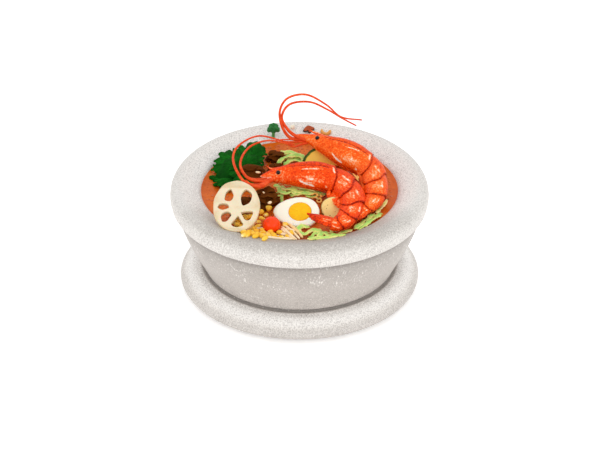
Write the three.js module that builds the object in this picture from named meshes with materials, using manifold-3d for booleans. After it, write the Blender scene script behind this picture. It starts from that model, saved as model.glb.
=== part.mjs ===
// A bowl of soup curry: a thick speckled stoneware bowl with a wide rim on a round
// saucer, full of orange curry soup. Two whole prawns lie on a heap of vegetables with half
// a boiled egg, and their feelers loop up over the bowl.
// Millimetres, +Z up. The origin is the centre of the saucer's flat underside.
import * as THREE from "three";
import { mergeVertices } from "three/addons/utils/BufferGeometryUtils.js";
import Module from "manifold-3d";

const wasm = await Module();
wasm.setup();

// ---- Driving dimensions ----
const gap = 0.3; // kept between pieces that touch
const saucer = { radius: 121.5, height: 24, foot: 99, edge: 18 };
const bowl = { rim: 129.3, crest: 121, crestHeight: 11, depth: 80, foot: 97.5, floor: 16 };
const soup = { radius: 97 };
const rounds = 32; // facets round the bowl and the saucer
const soupLevel = saucer.height + gap + bowl.depth;
const feelerRadius = 0.9;

// Where each topping lies: x to the right, y to the back and z up from the soup's surface.
const frontPrawn = {
  route: [[-37, -14, 22], [-19, -4, 21], [5, -6, 19.5], [30, -10, 17.5], [46, -15, 15.5],
    [51, -33, 13.5], [51, -55, 12], [43, -73, 11], [34, -79, 10.5], [26, -77, 10]],
  girth: 15.6,
  headTilt: 50,
  tailTilt: 76,
  fan: { length: 25, turn: 4 },
};
const backPrawn = {
  route: [[-3, 65, 27], [19, 56, 25], [37, 44, 22], [53, 29, 19], [66, 18, 16.5],
    [74, 5, 15], [76, -16, 13], [72, -40, 11], [64, -55, 10], [55, -64, 10]],
  girth: 15.2,
  headTilt: 55,
  tailTilt: 74,
  fan: { length: 17, turn: 0 },
};
const feelerRoutes = {
  antenna_back_outer: [[-12, 59, 22], [-18, 61, 36], [-20, 69, 52], [-13, 75, 63],
    [6, 73, 69], [27, 72, 58], [42, 76, 42], [64, 91, 30]],
  antenna_back_inner: [[-2, 57, 22], [-12, 61, 34], [-16, 68, 47], [-9, 74, 56],
    [10, 74, 60], [29, 70, 53], [43, 73, 42], [58, 79, 30]],
  antenna_front_outer: [[-40, -27, 21], [-53, -27, 24], [-62, -14, 30], [-66, 7, 34],
    [-61, 25, 36.5], [-41, 46, 36], [-18, 45, 31], [-5, 42, 28]],
  antenna_front_inner: [[-37, -21, 22], [-50, -21, 25], [-58, -9, 30.5], [-57, 8, 33.5],
    [-47, 30, 34.5], [-30, 42, 33], [-18, 41.5, 31], [-7, 39, 29]],
};
const egg = { at: [-3, -57, 8.5], length: 45, width: 36, tilt: 22, depth: 15.5, yolk: 11.5 };
const lotus = {
  at: [-61, -67, 21],
  width: 45,
  height: 56,
  thick: 6.5,
  tilt: 32,
  // Each hole's bearing and distance from the middle, and its length and width.
  holes: [[45, 13.5, 14.5, 10], [120, 14, 11, 7.5], [180, 13, 9.5, 6.5], [228, 15.8, 10, 8.5],
    [274, 18, 12, 8], [316, 14.2, 10.5, 8.5]],
};
const tomato = { at: [-27, -79, 6.5], radius: 8.7 };
const potato = { at: [32, -50, 7.5], radius: 13, thick: 9, tilt: 32 };
const pumpkin = { at: [29, 40, 0], outer: 24, inner: 9, thick: 12, tilt: 52 };
const broccoli = { at: [-27, 99, 5.5], height: 13, crown: 6 };
const mushroomSlice = { at: [8, 111, 10.3], width: 15, thick: 3.5, tilt: 28 };
const cashew = { at: [28, 107, 10], radius: 5.5, thick: 4.6 };
const garlic = { at: [-7, 110, 11.6], length: 9, width: 6 };

// Heaps of leaves, mushroom and small vegetables, each out to its uneven outline.
const heaps = {
  maitake_left: { at: [-48, 21], size: [12, 13], turn: 20, top: 15, frill: 0.12, lobes: 5 },
  maitake_back: { at: [-24, 61], size: [9, 13], turn: -10, top: 10, frill: 0.2, lobes: 6 },
  maitake_middle: { at: [-24, 37], size: [10, 9], turn: 0, top: 9, frill: 0.14, lobes: 5 },
  maitake_front: { at: [-33, -28], size: [15, 13], turn: 35, top: 19, frill: 0.12, lobes: 5 },
  kale_leaf: { at: [-63, 36], size: [41, 24], turn: 62, top: 20, frill: 0.12, lobes: 7 },
  cabbage_back: { at: [-8, 59], size: [13, 12], turn: 25, top: 8, frill: 0.14, lobes: 6 },
  cabbage_middle: { at: [1, -16], size: [29, 14], turn: -4, top: 9, frill: 0.1, lobes: 5 },
  cabbage_front: { at: [19, -84], size: [19, 8], turn: 14, top: 6, frill: 0.1, lobes: 5 },
  cabbage_right: { at: [70, -58], size: [22, 7], turn: 55, top: 6, frill: 0.12, lobes: 5 },
  sprouts: { at: [-10, -84], size: [14, 8], turn: -8, top: 6, frill: 0.1, lobes: 4 },
  corn: { at: [-41, -67], size: [15, 24], turn: 25, top: 8, frill: 0.08, lobes: 5 },
};
const sink = 5; // how far a heap reaches down into the soup

// ---- Solids ----
const radians = THREE.MathUtils.degToRad;
const vector = (place) => new THREE.Vector3(...place);

// A geometry's points, merged where they meet, so that it is one closed skin.
function welded(geometry) {
  const bare = geometry.clone();
  bare.deleteAttribute("normal");
  bare.deleteAttribute("uv");
  return mergeVertices(bare, 1e-3);
}

function solidOf(geometry) {
  const skin = welded(geometry);
  const triVerts = new Uint32Array(skin.index.array);
  const vertProperties = skin.attributes.position.array;
  const solid = new wasm.Manifold(new wasm.Mesh({ numProp: 3, vertProperties, triVerts }));
  if (solid.volume() > 0) return solid;
  for (let i = 0; i < triVerts.length; i += 3)
    [triVerts[i + 1], triVerts[i + 2]] = [triVerts[i + 2], triVerts[i + 1]];
  return new wasm.Manifold(new wasm.Mesh({ numProp: 3, vertProperties, triVerts }));
}

function geometryOf(solid) {
  const mesh = solid.getMesh();
  const geometry = new THREE.BufferGeometry();
  geometry.setAttribute("position", new THREE.Float32BufferAttribute(mesh.vertProperties, 3));
  geometry.setIndex([...mesh.triVerts]);
  return geometry;
}

// The same solid with every point moved out along its normal, so that its faces move by the
// gap, also where they meet at a sharp edge.
function grown(solid) {
  const geometry = welded(geometryOf(solid));
  geometry.computeVertexNormals();
  const { position, normal } = geometry.attributes;
  const point = new THREE.Vector3();
  const out = new THREE.Vector3();
  for (let i = 0; i < position.count; i++) {
    point.fromBufferAttribute(position, i);
    point.addScaledVector(out.fromBufferAttribute(normal, i), gap * 1.5);
    position.setXYZ(i, point.x, point.y, point.z);
  }
  return solidOf(geometry);
}

const join = (solids) => solids.reduce((whole, solid) => whole.add(solid));

// The largest single body that is left of a solid.
function mainBody(solid) {
  const bodies = solid.decompose();
  return bodies.reduce((best, body) => (body.volume() > best.volume() ? body : best));
}

function turned(geometry, { at = [0, 0, 0], tilt = 0, turn = 0 }) {
  geometry.rotateX(radians(tilt));
  geometry.rotateZ(radians(turn));
  geometry.translate(...at);
  return geometry;
}

// Moves each point of a unit sphere, given by its share of the way from pole to pole and its
// angle round the poles, to the place that `place` gives for it.
function shapedSphere(around, along, place) {
  const sphere = new THREE.SphereGeometry(1, around, along);
  const { position, uv } = sphere.attributes;
  for (let i = 0; i < position.count; i++) {
    const point = place(1 - uv.getY(i), uv.getX(i) * Math.PI * 2);
    position.setXYZ(i, point.x, point.y, point.z);
  }
  return sphere;
}

// ---- Bowl, saucer and soup ----
const lathe = (outline) =>
  new THREE.LatheGeometry(outline.map(([r, z]) => new THREE.Vector2(r, z)), rounds)
    .rotateX(Math.PI / 2);

function arc([r, z], [wide, high], from, to, steps) {
  return Array.from({ length: steps + 1 }, (_, i) => {
    const angle = radians(from + ((to - from) * i) / steps);
    return [r + wide * Math.cos(angle), z + high * Math.sin(angle)];
  });
}

function saucerSolid() {
  const { radius, height, foot, edge } = saucer;
  const middle = 9; // height of the widest place of the rounded edge
  const seat = bowl.foot + 3;
  return lathe([
    [0, 0],
    [foot, 0],
    ...arc([radius - edge, middle], [edge, middle - 0.6], -78, 82, 6),
    [seat, height - 1.2],
    [seat - 4, height],
    [0, height],
  ]);
}

function bowlSolid() {
  const { rim, crest, crestHeight, depth, foot, floor } = bowl;
  const inner = soup.radius + gap;
  const lip = rim - crest;
  const outside = [
    [foot - 3, -depth],
    [foot, -depth + 2.5],
    [111.5, -50],
    [119.5, -29],
    [122.5, -19.5],
  ];
  const bottom = floor - depth;
  return lathe([
    [0, -depth],
    ...outside,
    ...arc([crest, -3], [lip, 14], -62, 90, 6),
    [crest - 5, crestHeight - 1],
    [crest - 12, crestHeight - 3.2],
    [inner + 6, 5],
    [inner + 2.2, 3],
    [inner, 0],
    [inner - 1, -16],
    ...arc([inner - 31, bottom + 36], [28, 36], 0, -90, 4),
    [0, bottom],
  ]);
}

function soupSolid() {
  const wall = soup.radius;
  const bottom = bowl.floor - bowl.depth + gap;
  return lathe([
    [0, bottom],
    ...arc([wall - 31, bottom + 36], [28, 36], -90, 0, 4),
    [wall - 1, -16],
    [wall, 0],
    [0, 0],
  ]);
}

// ---- Prawns ----
// Half the depth of the body at places along it, from the snout to the root of the tail, as
// shares of the body's length and of its girth. Each plate of the belly steps out at its end.
function prawnStations() {
  const head = [[0, 0], [0.03, 0.14], [0.08, 0.42], [0.13, 0.7], [0.19, 0.88], [0.27, 1],
    [0.36, 1.01], [0.425, 0.95], [0.432, 0.86]];
  const plates = [0.56, 0.68, 0.79, 0.88, 0.95, 1];
  const stations = [...head];
  let start = 0.435;
  plates.forEach((end, i) => {
    const girth = 0.98 - 0.018 * i - 0.0155 * i * i;
    stations.push([start + 0.35 * (end - start), girth * 0.985]);
    stations.push([end - 0.006, girth]);
    stations.push([end, girth * 0.88]);
    start = end;
  });
  stations.push([1.004, 0]);
  return stations;
}

// The place, direction, back and side of a prawn at a share of the way along its body.
function prawnFrame(prawn, curve, share) {
  const along = THREE.MathUtils.clamp(share, 0, 1);
  const at = curve.getPointAt(along);
  const ahead = curve.getTangentAt(along);
  const tilt = radians(THREE.MathUtils.lerp(prawn.headTilt, prawn.tailTilt, along));
  const facing = new THREE.Vector3(0, -Math.cos(tilt), Math.sin(tilt));
  const side = facing.addScaledVector(ahead, -facing.dot(ahead)).normalize();
  const back = new THREE.Vector3().crossVectors(side, ahead);
  return { at, ahead, back, side };
}

function prawnSolid(prawn) {
  const curve = new THREE.CatmullRomCurve3(prawn.route.map(vector));
  const stations = prawnStations();
  const last = stations.length - 1;
  const around = 10;
  const body = shapedSphere(around, last, (along, angle) => {
    const [share, size] = stations[Math.round(along * last)];
    const { at, back, side } = prawnFrame(prawn, curve, share);
    const deep = prawn.girth * size * (Math.cos(angle) < 0 ? 0.92 : 1);
    const broad = prawn.girth * size * 0.72;
    at.addScaledVector(back, deep * Math.cos(angle));
    return at.addScaledVector(side, broad * Math.sin(angle));
  });
  return join([solidOf(body), rostrumSolid(prawn, curve), ...fanSolids(prawn, curve)]);
}

// The toothed spine over the eyes, which curves up to its tip.
function rostrumSolid(prawn, curve) {
  const { at, ahead, back, side } = prawnFrame(prawn, curve, 0.15);
  const root = at.clone().addScaledVector(back, prawn.girth * 0.66);
  const length = prawn.girth * 1.45;
  const spine = shapedSphere(5, 5, (along, angle) => {
    const size = along < 0.1 || along > 0.99 ? 0 : 2.6 * (1 - 0.72 * along);
    const centre = root.clone().addScaledVector(ahead, -length * along + 4);
    centre.addScaledVector(back, 2.5 * along * along + size * Math.cos(angle));
    return centre.addScaledVector(side, size * 0.7 * Math.sin(angle));
  });
  return solidOf(spine);
}

// Four flat blades and a middle spike behind the last plate.
function fanSolids(prawn, curve) {
  const { at, ahead, back, side } = prawnFrame(prawn, curve, 0.985);
  const { length, turn } = prawn.fan;
  return [-24, -11, 2, 15, 27].map((spread, i) => {
    const angle = radians(spread + turn);
    const reach = ahead.clone().multiplyScalar(Math.cos(angle));
    reach.addScaledVector(back, Math.sin(angle));
    const across = new THREE.Vector3().crossVectors(side, reach);
    const long = length * (i === 2 ? 0.85 : 1);
    const blade = shapedSphere(6, 4, (along, round) => {
      const open = along === 0 || along === 1 ? 0 : 1;
      const wide = open * (2 + 2.8 * Math.sin(Math.PI * along));
      const thick = open * (3.2 - 1.6 * along);
      const point = at.clone().addScaledVector(reach, long * along - 2);
      point.addScaledVector(across, wide * Math.cos(round));
      return point.addScaledVector(side, thick * Math.sin(round) + (i - 2) * 0.5);
    });
    return solidOf(blade);
  });
}

function feelerSolid(route) {
  const curve = new THREE.CatmullRomCurve3(route.map(vector));
  const section = new THREE.Shape().absarc(0, 0, feelerRadius, 0, Math.PI * 2);
  const tube = { steps: 16, curveSegments: 3, bevelEnabled: false, extrudePath: curve };
  return new THREE.ExtrudeGeometry(section, tube);
}

// ---- Egg, lotus root and the other single pieces ----
function eggHalf({ at, length, width, tilt, depth }) {
  const half = shapedSphere(16, 6, (along, angle) => {
    const polar = along * Math.PI;
    const reach = Math.sin(polar);
    const x = (length / 2) * reach * Math.cos(angle);
    const pointed = 1 + 0.2 * (x / length) * 2;
    const y = (width / 2) * reach * Math.sin(angle) * pointed;
    return new THREE.Vector3(x, y, Math.min(Math.cos(polar), 0) * depth);
  });
  return turned(half, { at, tilt, turn: -5 });
}

function yolkBall({ at, yolk, tilt }) {
  const ball = new THREE.SphereGeometry(yolk, 12, 6).scale(1, 1, 0.85);
  return turned(ball.translate(3.5, 0.5, -1.5), { at, tilt, turn: -5 });
}

function lotusSlice({ at, width, height, thick, tilt, holes }) {
  const edge = new THREE.EllipseCurve(0, 0, width / 2, height / 2);
  const outline = new THREE.Shape(edge.getPoints(24).slice(1));
  for (const [bearing, reach, long, wide] of holes) {
    const angle = radians(bearing);
    const x = reach * Math.cos(angle);
    const y = reach * Math.sin(angle);
    const hole = new THREE.EllipseCurve(x, y, long / 2, wide / 2, 0, Math.PI * 2, true, angle);
    outline.holes.push(new THREE.Path(hole.getPoints(8).slice(1)));
  }
  const plate = { depth: thick, bevelEnabled: false };
  const slice = new THREE.ExtrudeGeometry(outline, plate).translate(0, 0, -thick);
  return turned(slice, { at, tilt });
}

function potatoSlice({ at, radius, thick, tilt }) {
  const disc = new THREE.CylinderGeometry(radius, radius * 0.94, thick, 18);
  return turned(disc.rotateX(Math.PI / 2).translate(0, 0, -thick / 2), { at, tilt });
}

// A curved slice of pumpkin: the rind runs round its outside.
function pumpkinWedge({ at, outer, inner, thick, tilt }) {
  const outline = new THREE.Shape();
  outline.absarc(0, 0, outer, radians(20), radians(160));
  outline.absarc(0, -2, inner, radians(160), radians(20), true);
  const plate = { depth: thick, curveSegments: 9, bevelEnabled: false };
  const slice = new THREE.ExtrudeGeometry(outline, plate).translate(0, 0, -thick);
  return turned(slice, { at, tilt, turn: -4 });
}

function broccoliFloret({ at, height, crown }) {
  const stem = new THREE.CylinderGeometry(1.5, 1.8, height - crown, 6).rotateX(Math.PI / 2);
  stem.translate(0, 0, (height - crown) / 2);
  const head = new THREE.SphereGeometry(1, 9, 6).rotateX(Math.PI / 2);
  head.scale(crown, crown * 0.8, crown * 0.62).translate(0, 0, height - crown * 0.62);
  const whole = solidOf(stem).add(solidOf(head));
  return whole.translate(at);
}

function mushroomPiece({ at, width, thick, tilt }) {
  const half = width / 2;
  const outline = new THREE.Shape();
  outline.moveTo(-half * 0.25, -half * 0.65);
  outline.lineTo(half * 0.25, -half * 0.65);
  outline.lineTo(half * 0.32, 0);
  outline.lineTo(half, -half * 0.1);
  outline.absellipse(0, 0, half, half * 0.7, 0, Math.PI);
  outline.lineTo(-half * 0.32, 0);
  const plate = { depth: thick, curveSegments: 6, bevelEnabled: false };
  return turned(new THREE.ExtrudeGeometry(outline, plate), { at, tilt, turn: 12 });
}

function cashewNut({ at, radius, thick }) {
  const nut = shapedSphere(6, 8, (along, angle) => {
    const bearing = radians(200 + 170 * along);
    const size = (thick / 2) * Math.sin(Math.PI * along) ** 0.5;
    const reach = radius + size * Math.cos(angle);
    const height = size * Math.sin(angle);
    return new THREE.Vector3(reach * Math.cos(bearing), reach * Math.sin(bearing), height);
  });
  return turned(nut, { at, tilt: 20, turn: 10 });
}

function garlicClove({ at, length, width }) {
  const clove = shapedSphere(8, 8, (along, angle) => {
    const size = (width / 2) * Math.sin(Math.PI * along) ** 0.8 * (1.15 - 0.5 * along);
    const x = length * (along - 0.5);
    return new THREE.Vector3(x, size * Math.cos(angle), size * 0.8 * Math.sin(angle));
  });
  return turned(clove, { at, turn: 70 });
}

// A heap: a dome with a lobed outline, whose foot goes straight down into the soup. `more`
// makes it larger all round.
function heapSolid({ at, size: [wide, deep], turn, top, frill, lobes }, more = 0) {
  const rings = [[0, 1], [0.5, 0.9], [0.86, 0.55], [1, 0.12], [0.98, -1], [0, -1]];
  const dome = shapedSphere(Math.max(12, 2 * lobes), rings.length - 1, (along, angle) => {
    const [share, level] = rings[Math.round(along * (rings.length - 1))];
    const lobed = Math.sin(lobes * angle + at[0]) + 0.6 * Math.sin(2 * angle + at[1]);
    const reach = share * (1 + frill * lobed);
    const rough = 1 + frill * share * Math.sin((lobes + 1) * angle);
    const height = level > 0 ? (top + more) * level * rough : (sink + more) * level;
    const x = (wide + more) * reach * Math.cos(angle);
    const y = (deep + more) * reach * Math.sin(angle);
    return new THREE.Vector3(x, y, height);
  });
  return turned(dome, { at: [...at, 0], turn });
}

// ---- Fitting the pieces together ----
// Each piece is cut back from those before it, so that neighbours touch and never overlap.
const colours = {
  stoneware: 0xe9e5df, curry: 0xc75c22, prawnFront: 0xf03f14, prawnBack: 0xfb5a1c,
  feeler: 0xe8481a, eggWhite: 0xfcf1d9, yolk: 0xfcc003, lotus: 0xf1e5c9, tomato: 0xfc4916,
  potato: 0xf1d18a, pumpkin: 0xfab64d, kale: 0x145014, maitake: 0x5c300d,
  cabbage: 0xb2cc69, sprouts: 0xfddcb6, corn: 0xf2b93c, broccoli: 0x2e6934,
  mushroom: 0x8a4526, cashew: 0xe9a655, garlic: 0xefe4cd,
};
const roughness = { stoneware: 0.55, curry: 0.15, prawnFront: 0.25, prawnBack: 0.25 };

const fitted = new Map();
const keepOut = [];

function fit(name, colour, source, larger) {
  let solid = source instanceof wasm.Manifold ? source : solidOf(source);
  const whole = larger ? solidOf(larger) : grown(solid);
  for (const other of keepOut) solid = solid.subtract(other);
  fitted.set(name, { solid: mainBody(solid), colour });
  keepOut.push(whole);
}

fit("bowl", "stoneware", bowlSolid());
fit("prawn_front", "prawnFront", prawnSolid(frontPrawn));
fit("prawn_back", "prawnBack", prawnSolid(backPrawn));
for (const [name, route] of Object.entries(feelerRoutes)) fit(name, "feeler", feelerSolid(route));
fit("egg_yolk", "yolk", solidOf(yolkBall(egg)).intersect(solidOf(eggHalf(egg))));
fit("egg_white", "eggWhite", eggHalf(egg));
fit("lotus_slice", "lotus", lotusSlice(lotus));
fit("cherry_tomato", "tomato", turned(new THREE.SphereGeometry(tomato.radius, 12, 8), tomato));
fit("potato_slice", "potato", potatoSlice(potato));
fit("pumpkin_wedge", "pumpkin", pumpkinWedge(pumpkin));
fit("broccoli_floret", "broccoli", broccoliFloret(broccoli));
fit("mushroom_slice", "mushroom", mushroomPiece(mushroomSlice));
fit("cashew", "cashew", cashewNut(cashew));
fit("garlic_clove", "garlic", garlicClove(garlic));
for (const [name, heap] of Object.entries(heaps))
  fit(name, name.split("_")[0], heapSolid(heap), heapSolid(heap, gap * 2));
fit("soup", "curry", soupSolid());

// ---- Scene ----
function mesh(name, colour, geometry) {
  const look = { color: colours[colour], roughness: roughness[colour] ?? 0.4 };
  const piece = new THREE.Mesh(geometry, new THREE.MeshStandardMaterial({ ...look, metalness: 0 }));
  piece.name = name;
  return piece;
}

const contents = new THREE.Group();
contents.position.z = soupLevel;
for (const [name, { solid, colour }] of fitted) contents.add(mesh(name, colour, geometryOf(solid)));

const whole = new THREE.Group();
whole.add(mesh("saucer", "stoneware", saucerSolid()), contents);

export default whole;
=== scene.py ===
# %% [markdown]
# # A bowl of soup curry
# A wide-rimmed stoneware bowl stands on its saucer, full of thin orange curry soup. Two whole
# boiled prawns lie on vegetables, with half an egg and a slice of lotus root in front.
# This lesson dresses a CAD model of that bowl. The CAD gives every piece its place and size,
# and the cells below make each piece again with the shape and finish that the eye expects.

# %% Load the CAD frame
import math

import bmesh
import bpy
import numpy as np
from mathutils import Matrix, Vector
from mathutils.bvhtree import BVHTree


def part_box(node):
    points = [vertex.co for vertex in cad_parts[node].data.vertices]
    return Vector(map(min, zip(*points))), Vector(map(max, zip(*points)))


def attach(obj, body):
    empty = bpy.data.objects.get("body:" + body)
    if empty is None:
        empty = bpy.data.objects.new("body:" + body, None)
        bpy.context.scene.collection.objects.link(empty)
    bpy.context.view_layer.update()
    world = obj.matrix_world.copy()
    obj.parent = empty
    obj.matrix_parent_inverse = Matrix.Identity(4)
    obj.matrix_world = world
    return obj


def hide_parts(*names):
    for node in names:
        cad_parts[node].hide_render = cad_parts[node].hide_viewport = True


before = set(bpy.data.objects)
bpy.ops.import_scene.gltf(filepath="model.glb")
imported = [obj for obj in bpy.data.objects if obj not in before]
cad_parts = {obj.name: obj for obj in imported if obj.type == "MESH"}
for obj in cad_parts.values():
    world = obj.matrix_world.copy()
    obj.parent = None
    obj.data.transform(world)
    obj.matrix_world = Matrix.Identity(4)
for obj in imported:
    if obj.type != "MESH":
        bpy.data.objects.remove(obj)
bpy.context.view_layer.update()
soup_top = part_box("soup")[1].z
MM = 0.001
print(f"{len(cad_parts)} CAD nodes, soup surface {soup_top / MM:.1f} mm over the table")

# %% [markdown]
# ## Camera
# The picture looks down on the bowl at 31.5 degrees, straight from the front. At 2 m with a
# 120 mm lens, one pixel covers one millimetre at the soup's surface. The camera is moved a
# little down across its view, so that the bowl stands above the middle of the frame.

# %% Place the camera
ELEVATION = math.radians(31.5)
DISTANCE = 2.0
FRAME_DOWN = 40.8 * MM
FRAME_RIGHT = 0.5 * MM

back_from = Vector((0, -math.cos(ELEVATION), math.sin(ELEVATION)))
up_in_frame = Vector((0, math.sin(ELEVATION), math.cos(ELEVATION)))
aim = Vector((FRAME_RIGHT, 0, soup_top)) - up_in_frame * FRAME_DOWN
lens = bpy.data.cameras.new("camera")
lens.lens = 120
lens.sensor_width = 36
camera = bpy.data.objects.new("camera", lens)
camera.location = aim + back_from * DISTANCE
camera.rotation_euler = (-back_from).to_track_quat("-Z", "Y").to_euler()
bpy.context.collection.objects.link(camera)
bpy.context.scene.camera = camera
bpy.context.scene.view_settings.view_transform = "Standard"
print("camera at", [round(c, 3) for c in camera.location])

# %% [markdown]
# ## Helpers for nodes and colours
# Colours are given as sRGB hex values, as they look on a screen, and the renderer works in
# linear light, so one function converts them. One more adds a node with its settings and
# links, for shaders and for Geometry Nodes alike.

# %% Node and colour helpers
def colour(code):
    """The linear colour of an sRGB hex value."""
    parts = [int(code[i:i + 2], 16) / 255 for i in (1, 3, 5)]
    return [c / 12.92 if c <= 0.04045 else ((c + 0.055) / 1.055) ** 2.4 for c in parts] + [1]


def add(tree, kind, inputs=None, stops=None, **settings):
    """Adds a node. `inputs` gives sockets a value or an output, `stops` are a ramp's colours."""
    made = tree.nodes.new(kind)
    for name, value in settings.items():
        setattr(made, name, value)
    for name, value in (inputs or {}).items():
        if isinstance(value, bpy.types.Node):
            value = value.outputs[0]
        if isinstance(value, bpy.types.NodeSocket):
            tree.links.new(value, made.inputs[name])
        else:
            made.inputs[name].default_value = value
    for i, (place, code) in enumerate(stops or []):
        elements = made.color_ramp.elements
        if i == 0:
            elements.remove(elements[1])
        spot = elements[0] if i == 0 else elements.new(place)
        spot.position = place
        spot.color = colour(code)
    return made


def material(name, numbers):
    """A new material with the main shader's plain numbers set."""
    made = bpy.data.materials.new(name)
    made.use_nodes = True
    shader = made.node_tree.nodes["Principled BSDF"]
    for socket, value in numbers.items():
        shader.inputs[socket].default_value = value
    return made, made.node_tree, shader


print("white in linear light:", colour("#FFFFFF"))


# %% [markdown]
# ## Floor and light
# The bowl stands on matt white paper that is lit from below as well, like a light table, so
# that it stays white under the ware. An even white sky keeps the colours honest, and two
# large soft lamps in front of the bowl shape the rim and give the shells their highlights.
# The shells' brightest highlights are painted into their colours.

# %% Floor, sky and lamps
floor_paint, _, floor_shader = material("matt_white_paper", {"Roughness": 0.9, "Emission Strength": 0.3})
floor_shader.inputs["Base Color"].default_value = colour("#FDFDFD")
floor_shader.inputs["Emission Color"].default_value = colour("#FFFFFF")
floor_mesh = bpy.data.meshes.new("floor")
HALF_FLOOR = 6
corners = [(x * HALF_FLOOR, y * HALF_FLOOR, 0) for x, y in ((-1, -1), (1, -1), (1, 1), (-1, 1))]
floor_mesh.from_pydata(corners, [], [[0, 1, 2, 3]])
floor_mesh.materials.append(floor_paint)
floor = bpy.data.objects.new("floor", floor_mesh)
bpy.context.collection.objects.link(floor)

sky = bpy.data.worlds.new("soft_white_sky")
sky.use_nodes = True
sky.node_tree.nodes["Background"].inputs["Color"].default_value = (1, 1, 1, 1)
sky.node_tree.nodes["Background"].inputs["Strength"].default_value = 0.98
bpy.context.scene.world = sky


def lamp(name, place, size, watts):
    """A square soft lamp that looks at the middle of the bowl."""
    light = bpy.data.lights.new(name, "AREA")
    light.size = size
    light.energy = watts
    made = bpy.data.objects.new(name, light)
    made.location = place
    towards = Vector((0, 0, soup_top)) - Vector(place)
    made.rotation_euler = towards.to_track_quat("-Z", "Y").to_euler()
    bpy.context.collection.objects.link(made)


lamp("key_lamp", (0.9, -1.3, 0.75), 0.6, 2.6)
lamp("fill_lamp", (-1.0, -1.2, 0.75), 0.8, 2.1)
print("stage ready")

# %% [markdown]
# ## Helpers for meshes
# Everything is drawn in millimetres from the middle of the soup's surface: x to the right,
# y to the back and z up. Most food is a closed skin over rings of points, or a thin sheet
# with two faces. Each point also keeps a tone from 0, dark, to 1, pale, which the materials
# read, so that colour follows the form: the dark edge of a shell plate or the pale rib of a
# leaf.

# %% Mesh helpers
def facing_out(points, faces):
    """The same faces, turned over if they enclose a negative volume."""
    volume = 0.0
    for corners in (3, 4):
        some = np.array([f for f in faces if len(f) == corners])
        if len(some):
            p = points[some] - points.mean(0)
            for k in range(1, corners - 1):
                volume += np.einsum("ij,ij->", p[:, 0], np.cross(p[:, k], p[:, k + 1]))
    return faces if volume > 0 else [f[::-1] for f in faces]


def skin(rings, tone=0.5):
    """A closed skin over rings of points, with a fan over each end."""
    rings = np.asarray(rings, float)
    rows, columns = rings.shape[:2]
    tone = np.broadcast_to(tone, (rows, columns))
    points = np.vstack([rings.reshape(-1, 3), rings[0].mean(0), rings[-1].mean(0)])
    tones = np.concatenate([tone.ravel(), [tone[0].mean(), tone[-1].mean()]])
    start, last = rows * columns, (rows - 1) * columns
    faces = []
    for j in range(columns):
        k = (j + 1) % columns
        faces += [[i * columns + j, i * columns + k, (i + 1) * columns + k, (i + 1) * columns + j]
                  for i in range(rows - 1)]
        faces += [[start, k, j], [start + 1, last + j, last + k]]
    return points, facing_out(points, faces), tones


def sheet(grid, thick, tone=0.5):
    """A closed thin skin on both sides of an open grid of points."""
    grid = np.asarray(grid, float)
    rows, columns = grid.shape[:2]
    normal = np.cross(np.gradient(grid, axis=0), np.gradient(grid, axis=1))
    normal /= np.linalg.norm(normal, axis=2, keepdims=True) + 1e-9
    half = np.broadcast_to(thick, (rows, columns))[..., None] / 2
    points = np.vstack([(grid + normal * half).reshape(-1, 3), (grid - normal * half).reshape(-1, 3)])
    n = rows * columns
    at = np.arange(n).reshape(rows, columns)
    quads = [[at[i, j], at[i + 1, j], at[i + 1, j + 1], at[i, j + 1]]
             for i in range(rows - 1) for j in range(columns - 1)]
    rim = [*at[:, 0], *at[-1, 1:], *at[-2::-1, -1], *at[0, -2:0:-1]]
    faces = quads + [[c + n for c in reversed(q)] for q in quads]
    faces += [[b, a, a + n, b + n] for a, b in zip(rim, rim[1:] + rim[:1])]
    tones = np.broadcast_to(tone, (rows, columns)).ravel()
    faces = [[int(c) for c in f] for f in faces]
    return points, facing_out(points, faces), np.concatenate([tones, tones])


def merged(parts):
    """Several skins as one set of points, faces and tones."""
    faces, first = [], 0
    for points, part_faces, _ in parts:
        faces += [[c + first for c in f] for f in part_faces]
        first += len(points)
    return np.vstack([p for p, _, _ in parts]), faces, np.concatenate([t for _, _, t in parts])


def mesh_object(name, points, faces=(), edges=(), finish=None, **values):
    """A mesh object from points in millimetres, with a number or a vector kept at each point."""
    mesh = bpy.data.meshes.new(name)
    mesh.from_pydata((np.asarray(points, float) * MM + (0, 0, soup_top)).tolist(), edges, faces)
    for label, numbers in values.items():
        numbers = np.asarray(numbers, np.float32)
        kind = "FLOAT_VECTOR" if numbers.ndim == 2 else "FLOAT"
        layer = mesh.attributes.new(label, kind, "POINT")
        layer.data.foreach_set("vector" if numbers.ndim == 2 else "value", numbers.ravel())
    if finish:
        mesh.materials.append(finish)
    mesh.shade_smooth()
    made = bpy.data.objects.new(name, mesh)
    bpy.context.collection.objects.link(made)
    return made


def settle(piece, slot, *nodes):
    """Gives a finished piece its body and hides the CAD nodes it stands for; `slot` is not used."""
    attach(piece, "root")
    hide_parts(*nodes)
    count = sum(len(p.vertices) - 2 for p in piece.data.polygons)
    print(f"{piece.name}: {count} triangles")
    return piece


def made_of(name, parts, finish, slot, *nodes):
    """A piece from several skins."""
    points, faces, tone = merged(parts)
    return settle(mesh_object(name, points, faces, finish=finish, tone=tone), slot, *nodes)


# %% Curves and unevenness
def full_turn(count):
    """Even angles over a full turn, in radians."""
    return np.linspace(0, 2 * math.pi, count, endpoint=False)


def reach_along(line):
    """How far along a line each of its points lies."""
    return np.concatenate([[0], np.cumsum(np.linalg.norm(np.diff(line, axis=0), axis=1))])


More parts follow.
